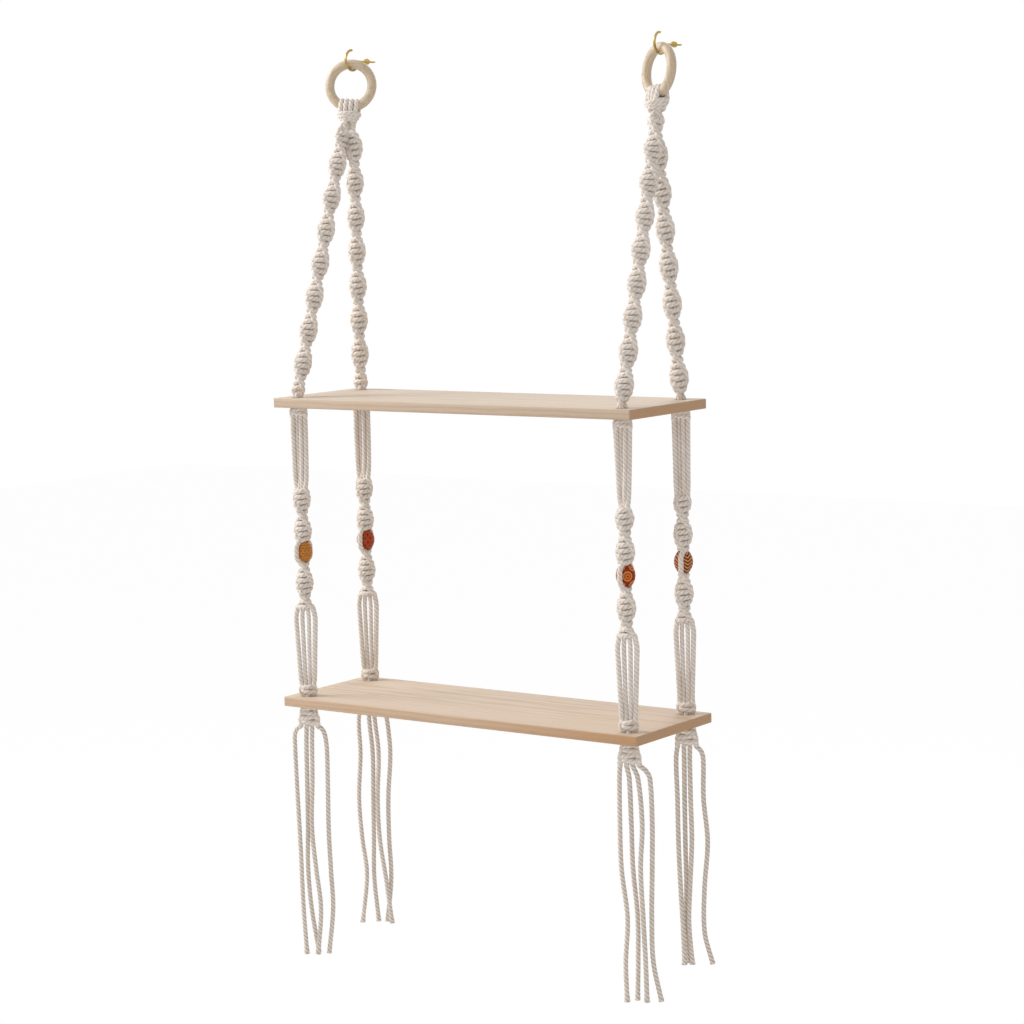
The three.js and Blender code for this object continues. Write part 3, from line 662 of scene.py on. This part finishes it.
# Inside the wrap: heights above its foot, and shares of the way from the ring's middle.
neck_places = ((4 * mm, 0.6), (0.5 * mm, 0.66))
neck_reach = 2.3 * mm
neck_wide = {"left": 4.7 * mm, "right": 6 * mm}
sinnet_knots = {"front_left": 47, "back_left": 44, "front_right": 50, "back_right": 44}
sinnet_turns = {"front_left": 43, "back_left": 141, "front_right": 58, "back_right": 53}


def leaned(side):
    """How a ring and all that is tied to it lean, about the ring's tube in the bowl of its hook."""
    pivot = Vector((side * hook_apart / 2, -hook_reach, -ring_hang))
    return Matrix.Translation(pivot) @ Matrix.Rotation(-ring_lean, 4, "X") @ Matrix.Translation(-pivot)


for leg in legs:
    hand = leg.split("_")[1]
    side = -1 if hand == "left" else 1
    row = 1 if leg.startswith("front") else -1
    start_x = side * (hook_apart / 2 + row * end_spread * math.sin(end_turn))
    start_y = -hook_reach - row * end_spread * math.cos(end_turn)
    count = sinnet_knots[leg]
    first = math.radians(sinnet_turns[leg])
    turns = steady(first, spiral_turn, count)
    board_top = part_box("upper_board")[1].z
    start = leaned(side) @ Vector((start_x, start_y, -sinnet_start - 1 * mm))
    end = Vector(on_leg(leg, 0, 0, board_top + foot_gap))
    run = (end - start).length
    top_wide = swelling(neck_wide[hand], spiral_half_width, 12 * mm)

    def wide(along):
        return min(top_wide(along), foot_wide(run - along))

    def deep(along):
        return min(top_deep(along), foot_deep(run - along))

    routes = half_knots(start, end, [1] * count, turns, wide, deep)
    cords = []
    for k in range(4):
        way = first + cord_ways[k]
        swapped = k < 2 and count % 2 == 1
        out = turns[-1] + cord_ways[1 - k if swapped else k]
        points = []
        for above, inward in neck_places:
            x = start_x * inward + side * (1 - inward) * hook_apart / 2 + neck_reach * math.cos(way)
            y = -hook_reach + (start_y + hook_reach) * inward + neck_reach * math.sin(way)
            points.append(leaned(side) @ Vector((x, y, above - wrap_foot)))
        points += routes[k]
        points += in_hole(leg, out, [board_top + above for above in foot_heights], foot_reach)
        cords.append((smooth(points, 3), cord_widths[k], k, 0))
    piece = cord_piece(leg + "_upper_sinnet_cords", cords, None, [leg + "_upper_sinnet"])
    bend_start = leaned(side) @ Vector((start_x, start_y, -wrap_foot))
    along = (end - bend_start).normalized()
    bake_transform(piece)

# Hitches: four cotton cords folded over the lowest part of each ring, side by side, and gathered
# below it by a wrap of the same cord, drawn tight in about three turns, wide above, narrow below.
ring_outer = 28 * mm
ring_tube = 5 * mm
ring_yaw = math.radians(25)
hitch_width = 5.5 * mm
# Each folded cord's place along the ring in cord widths, and how far it is pressed flat on the ring.
hitch_cords = ((-1.5, 2.9 * mm), (-0.5, 1.3 * mm), (0.5, 1.3 * mm), (1.5, 2.9 * mm))
# Round the ring's tube: an angle from its foot, and how far apart the cords are there.
hitch_bends = ((0, 0.93), (30, 0.96), (60, 1), (90, 1))
# Below the ring: how far apart the cords are, how far through from the middle, and their height.
hitch_drops = ((0.95, 6.4 * mm, 1 * mm), (0.62, 4.4 * mm, -5 * mm))
wrap_top = 57.1 * mm
wrap_rise = 1.5 * mm
wrap_turns = 3.4
wrap_steps = 16
wrap_begins = 2.4
wrap_wide = (11.4 * mm, 6.2 * mm)
wrap_deep = (9.8 * mm, 7 * mm)
wrap_cord = 4.9 * mm
wrap_tilt = {"left": 0.8 * mm, "right": 3.6 * mm}
for hand, side in (("left", -1), ("right", 1)):
    ring_middle = Vector((side * hook_apart / 2, -hook_reach, -ring_hang - ring_outer + ring_tube))
    ring_radius = ring_outer - ring_tube
    turn = -side * ring_yaw
    along_way = Vector((math.cos(turn), math.sin(turn), 0))
    through_way = Vector((-math.sin(turn), math.cos(turn), 0))
    neck = Vector((ring_middle.x, ring_middle.y, 0))
    cords = []
    for number, (share, pressed) in enumerate(hitch_cords):
        bend = ring_tube + hitch_width / 2 - pressed
        halves = []
        for way in (-1, 1):
            points = []
            for degrees, widen in hitch_bends:
                angle = math.radians(degrees)
                along = share * hitch_width * widen
                reach = ring_radius - bend * math.cos(angle)
                drop = math.sqrt(reach * reach - along * along)
                across = way * bend * math.sin(angle)
                place = along * along_way + across * through_way - Vector((0, 0, drop))
                points.append(ring_middle + place)
            for widen, through, rise in hitch_drops:
                place = share * hitch_width * widen * along_way + way * through * through_way
                points.append(neck + place + Vector((0, 0, rise - wrap_top)))
            halves.append(points)
        folded = halves[0][::-1] + halves[1][1:]
        cords.append((smooth([leaned(side) @ p for p in folded], 2), hitch_width, number, 0))
    cord_piece(hand + "_ring_hitch_cords", cords, hand + "_ring", [hand + "_ring_hitch"])

    coil = []
    for step in range(int(wrap_turns * wrap_steps) + 1):
        share = step / (wrap_turns * wrap_steps)
        angle = 2 * math.pi * step / wrap_steps + wrap_begins
        narrowed = share * share * (3 - 2 * share)
        wide = wrap_wide[0] + (wrap_wide[1] - wrap_wide[0]) * narrowed
        deep = wrap_deep[0] + (wrap_deep[1] - wrap_deep[0]) * narrowed
        tilt = wrap_tilt[hand] * (1 - share) * math.cos(angle - eye_yaw + turn)
        z = wrap_rise - wrap_top - share * (wrap_foot - wrap_top - 0.5 * mm) + tilt
        round_neck = wide * math.cos(angle) * along_way + deep * math.sin(angle) * through_way
        coil.append(leaned(side) @ (neck + round_neck + Vector((0, 0, z))))
    cords = [(smooth(coil, 2), wrap_cord, 1, 0)]
    cord_piece(hand + "_wrap_cords", cords, hand + "_ring", [hand + "_gathering_wrap"])

# Boards: planed pale pine, 10 mm thick, with softly broken edges and a drilled hole for each leg.
# The grain runs along them, and the growth rings show on their ends.
board_corner = 1.5 * mm
edge_break = 0.8 * mm
hole_radius = 6.5 * mm
same_place = 1e-6
pine_tones = {
    "upper_board": (srgb(204, 190, 174), srgb(178, 152, 125)),
    "lower_board": (srgb(208, 191, 173), srgb(181, 153, 124)),
}
# The darker tone of pine's end grain, which also serves as the tone of the painted shade.
end_grain_and_shade_tone = srgb(182, 139, 98)
# How much painted shade darkens the long edges, which get less light than the top, and how much darker a
# board gets towards its right end.
edge_shade_and_rightward = {"upper_board": (0.25, 0.5), "lower_board": (0.45, 5)}
# How far the ends go towards the end tone: partly their real darker end grain, partly painted shade.
end_grain_and_shade = 0.85
# How much darker the top gets towards the right end.
top_darkened_rightwards = 0.12


def choose(test, kind="EDGE"):
    """Selects the edges or faces of the mesh in edit mode for which a test is true."""
    bpy.ops.mesh.select_mode(type=kind)
    mesh = bmesh.from_edit_mesh(bpy.context.object.data)
    for items in (mesh.verts, mesh.edges, mesh.faces):
        for item in items:
            item.select = False
    for item in mesh.edges if kind == "EDGE" else mesh.faces:
        item.select_set(bool(test(item)))
    bmesh.update_edit_mesh(bpy.context.object.data)


def start_mesh(add, **values):
    """A primitive alone in the selection, in edit mode."""
    if bpy.context.mode != "OBJECT":
        bpy.ops.object.mode_set(mode="OBJECT")
    bpy.ops.object.select_all(action="DESELECT")
    add(**values)
    bpy.ops.object.mode_set(mode="EDIT")
    bpy.ops.mesh.select_all(action="SELECT")
    return bpy.context.object


def settle(piece, name, angle):
    """Leaves edit mode, puts the piece's place into its mesh and smooths edges below an angle."""
    bpy.ops.object.mode_set(mode="OBJECT")
    bpy.ops.object.transform_apply(location=True, rotation=True, scale=True)
    bpy.ops.object.shade_smooth_by_angle(angle=math.radians(angle))
    piece.name = name
    piece.data.name = name


# What all the wood has: growth rings round an axis along X, fine fibres and short pores.
growth = bpy.data.node_groups.new("wood_growth", "ShaderNodeTree")
for name, way, kind in (
    ("Vector", "INPUT", "NodeSocketVector"),
    ("Early wood", "INPUT", "NodeSocketColor"),
    ("Late wood", "INPUT", "NodeSocketColor"),
    ("Ring scale", "INPUT", "NodeSocketFloat"),
    ("Ring strength", "INPUT", "NodeSocketFloat"),
    ("Pore strength", "INPUT", "NodeSocketFloat"),
    ("Color", "OUTPUT", "NodeSocketColor"),
    ("Height", "OUTPUT", "NodeSocketFloat"),
):
    growth.interface.new_socket(name=name, in_out=way, socket_type=kind)

growth_in = node(growth, "NodeGroupInput").outputs
stretched = node(growth, "ShaderNodeMapping", Vector=growth_in["Vector"], Scale=(0.09, 1, 1))
bands = node(
    growth,
    "ShaderNodeTexWave",
    Vector=stretched.outputs[0],
    Scale=growth_in["Ring scale"],
    Distortion=5,
    Detail=2,
    Detail_Scale=1.2,
    Detail_Roughness=0.45,
)
bands.wave_type = "RINGS"
bands.rings_direction = "X"
fibre_place = node(growth, "ShaderNodeMapping", Vector=growth_in["Vector"], Scale=(22, 700, 700))
fibres = node(growth, "ShaderNodeTexNoise", Vector=fibre_place.outputs[0], Scale=1, Detail=3)
pore_place = node(growth, "ShaderNodeMapping", Vector=growth_in["Vector"], Scale=(260, 1900, 1900))
pores = node(growth, "ShaderNodeTexNoise", Vector=pore_place.outputs[0], Scale=1, Detail=1)
ring_line = maths(growth, "POWER", bands.outputs["Fac"], 2.5)
ring_share = maths(growth, "MULTIPLY", ring_line, growth_in["Ring strength"])
fibre_share = maths(growth, "MULTIPLY", fibres.outputs[0], 0.35)
pore_line = maths(growth, "GREATER_THAN", pores.outputs[0], 0.62)
pore_share = maths(growth, "MULTIPLY", pore_line, growth_in["Pore strength"])
shade = maths(growth, "ADD", maths(growth, "ADD", ring_share, fibre_share), pore_share)
shaded = blend_colours(growth, shade, growth_in["Early wood"], growth_in["Late wood"])
height = maths(growth, "SUBTRACT", maths(growth, "MULTIPLY", fibres.outputs[0], 0.6), pore_share)
growth_out = node(growth, "NodeGroupOutput")
feed(growth_out.inputs["Color"], shaded)
feed(growth_out.inputs["Height"], height)


def wood(name, early, late, heart, ring_scale, ring_strength, pore_strength, turn=(0, 0, 0)):
    """A wood with its heart, the middle of its growth rings, at a place and its grain turned."""
    material, tree, shader = new_material(name)
    where = node(tree, "ShaderNodeTexCoord").outputs["Object"]
    centred = node(tree, "ShaderNodeMapping", Vector=where, Location=heart, Rotation=turn)
    centred.vector_type = "TEXTURE"
    grain = node(tree, "ShaderNodeGroup")
    grain.node_tree = growth
    values = (centred.outputs[0], early, late, ring_scale, ring_strength, pore_strength)
    for socket, value in zip(grain.inputs, values):
        feed(socket, value)
    rise = grain.outputs["Height"]
    bump = node(tree, "ShaderNodeBump", Strength=0.4, Distance=0.08 * mm, Height=rise)
    feed(shader.inputs["Normal"], bump.outputs[0])
    feed(shader.inputs["Base Color"], grain.outputs["Color"])
    feed(shader.inputs["Roughness"], 0.6)
    return material, grain, shader


# Each board's heart, from the board's middle.
pine_hearts = ((0.03, -0.012, -0.055), (0.03, 0.018, -0.075))
for number, name in enumerate(("upper_board", "lower_board")):
    low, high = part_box(name)
    size = high - low
    middle = (low + high) / 2
    board = start_mesh(bpy.ops.mesh.primitive_cube_add, size=1)
    bpy.ops.transform.resize(value=size)
    bpy.ops.transform.translate(value=middle)
    choose(lambda edge: abs(edge.verts[0].co.z - edge.verts[1].co.z) > size.z / 2)
    bpy.ops.mesh.bevel(offset=board_corner, segments=6, affect="EDGES")
    choose(lambda edge: abs(edge.verts[0].co.z - edge.verts[1].co.z) < same_place)
    bpy.ops.mesh.bevel(offset=edge_break, segments=3, affect="EDGES")
    bpy.ops.object.mode_set(mode="OBJECT")
    for leg in legs:
        bpy.ops.object.select_all(action="DESELECT")
        place = on_leg(leg, 0, 0, middle.z)
        depth = 3 * size.z
        bpy.ops.mesh.primitive_cylinder_add(vertices=48, radius=hole_radius, depth=depth, location=place)
        drill = bpy.context.object
        bpy.ops.object.select_all(action="DESELECT")
        board.select_set(True)
        bpy.context.view_layer.objects.active = board
        cut = board.modifiers.new("drill", "BOOLEAN")
        cut.operation = "DIFFERENCE"
        cut.solver = "EXACT"
        cut.object = drill
        bpy.ops.object.modifier_apply(modifier="drill")
        bpy.data.objects.remove(drill)
    settle(board, name + "_pine", 30)
    heart = middle + Vector(pine_hearts[number])
    pine, grain, shader = wood(name + "_wood", *pine_tones[name], heart, 95, 0.42, 0.1)
    tree = pine.node_tree
    # Darker towards the end tone by the way each face points: the ends by real end grain and painted
    # shade, the long edges by painted shade that grows towards the right end, and the top towards the
    # right end.
    where = node(tree, "ShaderNodeTexCoord").outputs
    side_faced = node(tree, "ShaderNodeSeparateXYZ", Vector=where["Normal"]).outputs
    along = node(tree, "ShaderNodeSeparateXYZ", Vector=where["Object"]).outputs["X"]
    edge_shade_share, rightwards = edge_shade_and_rightward[name]
    right = maths(tree, "MAXIMUM", along, 0)
    more = maths(tree, "MULTIPLY_ADD", right, rightwards, 1)
    at_end = maths(tree, "MULTIPLY", maths(tree, "ABSOLUTE", side_faced["X"]), end_grain_and_shade)
    at_edge = maths(tree, "MULTIPLY", maths(tree, "ABSOLUTE", side_faced["Y"]), edge_shade_share)
    at_top = maths(tree, "MULTIPLY", maths(tree, "MULTIPLY", right, top_darkened_rightwards), rightwards)
    at_side = maths(tree, "MAXIMUM", at_end, maths(tree, "MULTIPLY", at_edge, more))
    grain_and_shade_share = maths(tree, "MAXIMUM", at_side, at_top)
    darker = blend_colours(tree, grain_and_shade_share, grain.outputs["Color"], end_grain_and_shade_tone)
    feed(shader.inputs["Base Color"], darker)
    board.data.materials.append(pine)
    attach(board, "upper_shelf" if name == "upper_board" else "lower_shelf")
    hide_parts(name)

# Beads: turned wooden barrels with flat ends and a wide bore, stained and printed with simple
# traditional patterns and varnished. One hangs between the two boards on each leg.
bead_bore = 5.4 * mm
bead_flat = 6 * mm
bead_radius = 9.75 * mm
bead_break = 0.5 * mm
bead_sides = 48
barrel_steps = 10
# Each bead's two wood tones and the tone of its print.
bead_stains = {
    "front_left": (srgb(204, 134, 50), srgb(160, 94, 30), srgb(146, 86, 32)),
    "back_left": (srgb(182, 70, 12), srgb(134, 44, 8), srgb(66, 26, 12)),
    "front_right": (srgb(140, 38, 6), srgb(96, 22, 4), srgb(214, 122, 38)),
    "back_right": (srgb(120, 42, 10), srgb(84, 26, 6), srgb(212, 152, 92)),
}
# A rosette's rings, each by its radius and half its line's width, in shares of a bead's height, the
# room round each rosette, and the height of the rows between.
rosette_rings = ((0.085, 0.03), (0.21, 0.045))
rosettes = 4
rosette_room = 0.75
rosette_row = 0.48
zigzags = 12
zigzag_height = 0.16
zigzag_lines = 36
# Rows up a bead, marks round it, and a mark's height over its length.
dots = {"front_left": (7, 14, 0.6), "back_left": (5, 10, 1)}
dot_radius = 0.2


def bead_print(tree, leg, centre):
    """Where a bead is printed: rows of marks, dots, ringed rosettes or zigzags round it."""
    def times(first, second):
        return maths(tree, "MULTIPLY", first, second)

    def plus(first, second):
        return maths(tree, "ADD", first, second)

    def gap_to(value, line):
        return maths(tree, "ABSOLUTE", maths(tree, "SUBTRACT", value, line))

    def in_cell(value):
        return maths(tree, "SUBTRACT", maths(tree, "FRACT", value), 0.5)

    def away(first, second):
        return maths(tree, "SQRT", plus(times(first, first), times(second, second)))

    where = node(tree, "ShaderNodeTexCoord").outputs["Object"]
    from_centre = tuple(-c for c in centre)
    centred = node(tree, "ShaderNodeMapping", Vector=where, Location=from_centre)
    parts = node(tree, "ShaderNodeSeparateXYZ", Vector=centred.outputs[0]).outputs
    around = maths(tree, "ARCTAN2", parts["Y"], parts["X"])
    turns = plus(maths(tree, "DIVIDE", around, 2 * math.pi), 0.5)
    rise = maths(tree, "DIVIDE", parts["Z"], 20 * mm)
    if leg == "front_right":
        cells = times(turns, rosettes)
        beside = times(in_cell(plus(cells, 0.5)), rosette_room)
        above = maths(tree, "SUBTRACT", maths(tree, "ABSOLUTE", rise), rosette_row)
        middle = away(times(in_cell(cells), rosette_room), rise)
        reach = maths(tree, "MINIMUM", middle, away(beside, above))
        lines = [maths(tree, "LESS_THAN", gap_to(reach, r), half) for r, half in rosette_rings]
        return maths(tree, "MAXIMUM", *lines)
    if leg == "back_right":
        zig = maths(tree, "PINGPONG", times(turns, zigzags), 1)
        slope = plus(times(zig, zigzag_height), rise)
        return maths(tree, "GREATER_THAN", maths(tree, "SINE", times(slope, zigzag_lines)), 0.3)
    rows, columns, flatness = dots[leg]
    row = times(rise, rows)
    odd = times(maths(tree, "FLOORED_MODULO", maths(tree, "FLOOR", row), 2), 0.5)
    across = times(in_cell(plus(times(turns, columns), odd)), flatness)
    return maths(tree, "LESS_THAN", away(across, in_cell(row)), dot_radius)


for leg in legs:
    low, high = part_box(leg + "_bead")
    centre = on_leg(leg, 0, 0, (low.z + high.z) / 2)
    half = (high.z - low.z) / 2
    bead = start_mesh(
        bpy.ops.mesh.primitive_circle_add,
        vertices=bead_sides,
        radius=bead_bore,
        location=(centre[0], centre[1], low.z),
    )
    # From the bore's edge out over one flat end, up the barrel, and in over the other end.
    rows = [(-half, bead_bore)]
    for k in range(barrel_steps + 1):
        z = math.sin((2 * k / barrel_steps - 1) * math.pi / 2) * half
        rows.append((z, bead_flat + (bead_radius - bead_flat) * (1 - (z / half) ** 2)))
    rows.append((half, bead_bore))
    for (last_z, rim), (z, radius) in zip(rows, rows[1:]):
        about = (centre[0], centre[1], centre[2] + z)
        wider = (radius / rim, radius / rim, 1)
        bpy.ops.mesh.extrude_edges_move(TRANSFORM_OT_translate={"value": (0, 0, z - last_z)})
        bpy.ops.transform.resize(value=wider, center_override=about)
    choose(lambda edge: edge.is_boundary)
    bpy.ops.mesh.bridge_edge_loops()
    bpy.ops.mesh.select_all(action="SELECT")
    bpy.ops.mesh.normals_make_consistent(inside=False)

    def on_bore_rim(corner):
        out = math.hypot(corner.co.x - centre[0], corner.co.y - centre[1])
        at_end = abs(abs(corner.co.z - centre[2]) - half) < same_place
        return at_end and abs(out - bead_bore) < 10 * same_place

    choose(lambda edge: all(on_bore_rim(v) for v in edge.verts))
    bpy.ops.mesh.bevel(offset=bead_break, segments=2, affect="EDGES")
    settle(bead, leg + "_printed_bead", 40)
    light, dark, ink = bead_stains[leg]
    upright_grain = (0, math.pi / 2, 0)
    name = leg + "_bead_wood"
    stained, grain, shader = wood(name, light, dark, centre, 260, 0.5, 0.25, upright_grain)
    printed = bead_print(stained.node_tree, leg, centre)
    inked = blend_colours(stained.node_tree, printed, grain.outputs["Color"], ink)
    feed(shader.inputs["Base Color"], inked)
    feed(shader.inputs["Roughness"], 0.45)
    feed(shader.inputs["Specular IOR Level"], 0.2)
    feed(shader.inputs["Coat Weight"], 0.12)
    feed(shader.inputs["Coat Roughness"], 0.15)
    bead.data.materials.append(stained)
    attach(bead, leg + "_bead")
    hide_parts(leg + "_bead")

# Rings: turned beech, 56 mm across and 10 mm thick, sanded and unvarnished. The grain runs straight
# across each, because it is turned from a flat blank.
ring_tones = (srgb(210, 193, 169), srgb(176, 151, 119))
ring_flattened = 0.97
ring_worn = 1.008
for hand, side in (("left", -1), ("right", 1)):
    ring = start_mesh(
        bpy.ops.mesh.primitive_torus_add,
        major_segments=96,
        minor_segments=28,
        major_radius=ring_outer - ring_tube,
        minor_radius=ring_tube,
    )
    bpy.ops.transform.resize(value=(1, 1, ring_flattened))
    inner = ring_outer - 1.8 * ring_tube
    choose(lambda face: math.hypot(*face.calc_center_median().xy) < inner, "FACE")
    bpy.ops.transform.resize(value=(ring_worn, ring_worn, 1), center_override=(0, 0, 0))
    bpy.ops.object.mode_set(mode="OBJECT")
    middle = Vector((side * hook_apart / 2, -hook_reach, -ring_hang - ring_outer + ring_tube))
    stood = Matrix.Rotation(-side * ring_yaw, 4, "Z") @ Matrix.Rotation(math.pi / 2, 4, "X")
    ring.matrix_world = leaned(side) @ Matrix.Translation(middle) @ stood
    settle(ring, hand + "_beech_ring", 60)
    heart = (middle.x, middle.y + 0.05, middle.z)
    across_grain = (0, 0, -side * ring_yaw)
    beech, grain, shader = wood(hand + "_ring_wood", *ring_tones, heart, 120, 0.34, 0.12, across_grain)
    feed(shader.inputs["Roughness"], 0.5)
    ring.data.materials.append(beech)
    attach(ring, hand + "_ring")
    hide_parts(hand + "_wood_ring")

# Cup hooks: polished brass wire of 2.6 mm, bent down and round into an open bowl, with a cupped
# shoulder that sits on the wall and a wood screw behind it.
wire = 1.3 * mm
bowl_radius = 10.7 * mm
bowl_rise = 1 * mm
neck_bend = 3 * mm
shoulder_radius = 3.25 * mm
shoulder_depth = 6 * mm
screw_length = 14 * mm
screw_point = 4 * mm
screw_tip = 0.2 * wire

brass, tree, shader = new_material("polished_brass")
feed(shader.inputs["Metallic"], 1)
where = node(tree, "ShaderNodeTexCoord").outputs["Object"]
dulled = node(tree, "ShaderNodeTexNoise", Vector=where, Scale=130, Detail=2).outputs[0]
tone = blend_colours(tree, dulled, srgb(208, 182, 112), srgb(150, 120, 60))
feed(shader.inputs["Base Color"], tone)
rough = maths(tree, "ADD", maths(tree, "MULTIPLY", dulled, 0.22), 0.12)
feed(shader.inputs["Roughness"], rough)

for hand, side in (("left", -1), ("right", 1)):
    x = side * hook_apart / 2
    bend_rise = bowl_rise + neck_bend
    bend_y = -hook_reach + math.sqrt((bowl_radius + neck_bend) ** 2 - bend_rise**2)
    meet = math.atan2(-bend_rise, bend_y + hook_reach)
    hook = start_mesh(
        bpy.ops.mesh.primitive_circle_add,
        vertices=24,
        radius=screw_tip,
        rotation=(math.pi / 2, 0, 0),
        location=(x, screw_length, 0),
    )
    profile = (
        (screw_length - screw_point, wire),
        (0, wire),
        (0.001 * mm, shoulder_radius),
        (-0.35 * shoulder_depth, 0.97 * shoulder_radius),
        (-0.7 * shoulder_depth, 0.75 * shoulder_radius),
        (-0.92 * shoulder_depth, 0.42 * shoulder_radius),
        (-shoulder_depth, wire),
        (bend_y, wire),
    )
    at = screw_length
    size = screw_tip
    for y, radius in profile:
        bpy.ops.mesh.extrude_edges_move(TRANSFORM_OT_translate={"value": (0, y - at, 0)})
        bpy.ops.transform.resize(value=(radius / size, 1, radius / size), center_override=(x, y, 0))
        at = y
        size = radius
    bend_middle = (x, bend_y, -neck_bend)
    bowl_middle = (x, -hook_reach, bowl_rise)
    bpy.ops.mesh.spin(steps=8, angle=-(math.pi / 2 + meet), center=bend_middle, axis=(1, 0, 0))
    bpy.ops.mesh.spin(steps=44, angle=1.5 * math.pi + meet, center=bowl_middle, axis=(1, 0, 0))
    bpy.ops.mesh.select_all(action="SELECT")
    bpy.ops.mesh.remove_doubles(threshold=0.001 * mm)
    bpy.ops.mesh.fill_holes(sides=0)
    bpy.ops.mesh.normals_make_consistent(inside=False)
    settle(hook, hand + "_brass_hook", 40)
    hook.data.materials.append(brass)
    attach(hook, "wall_hooks")
    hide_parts(hand + "_cup_hook")
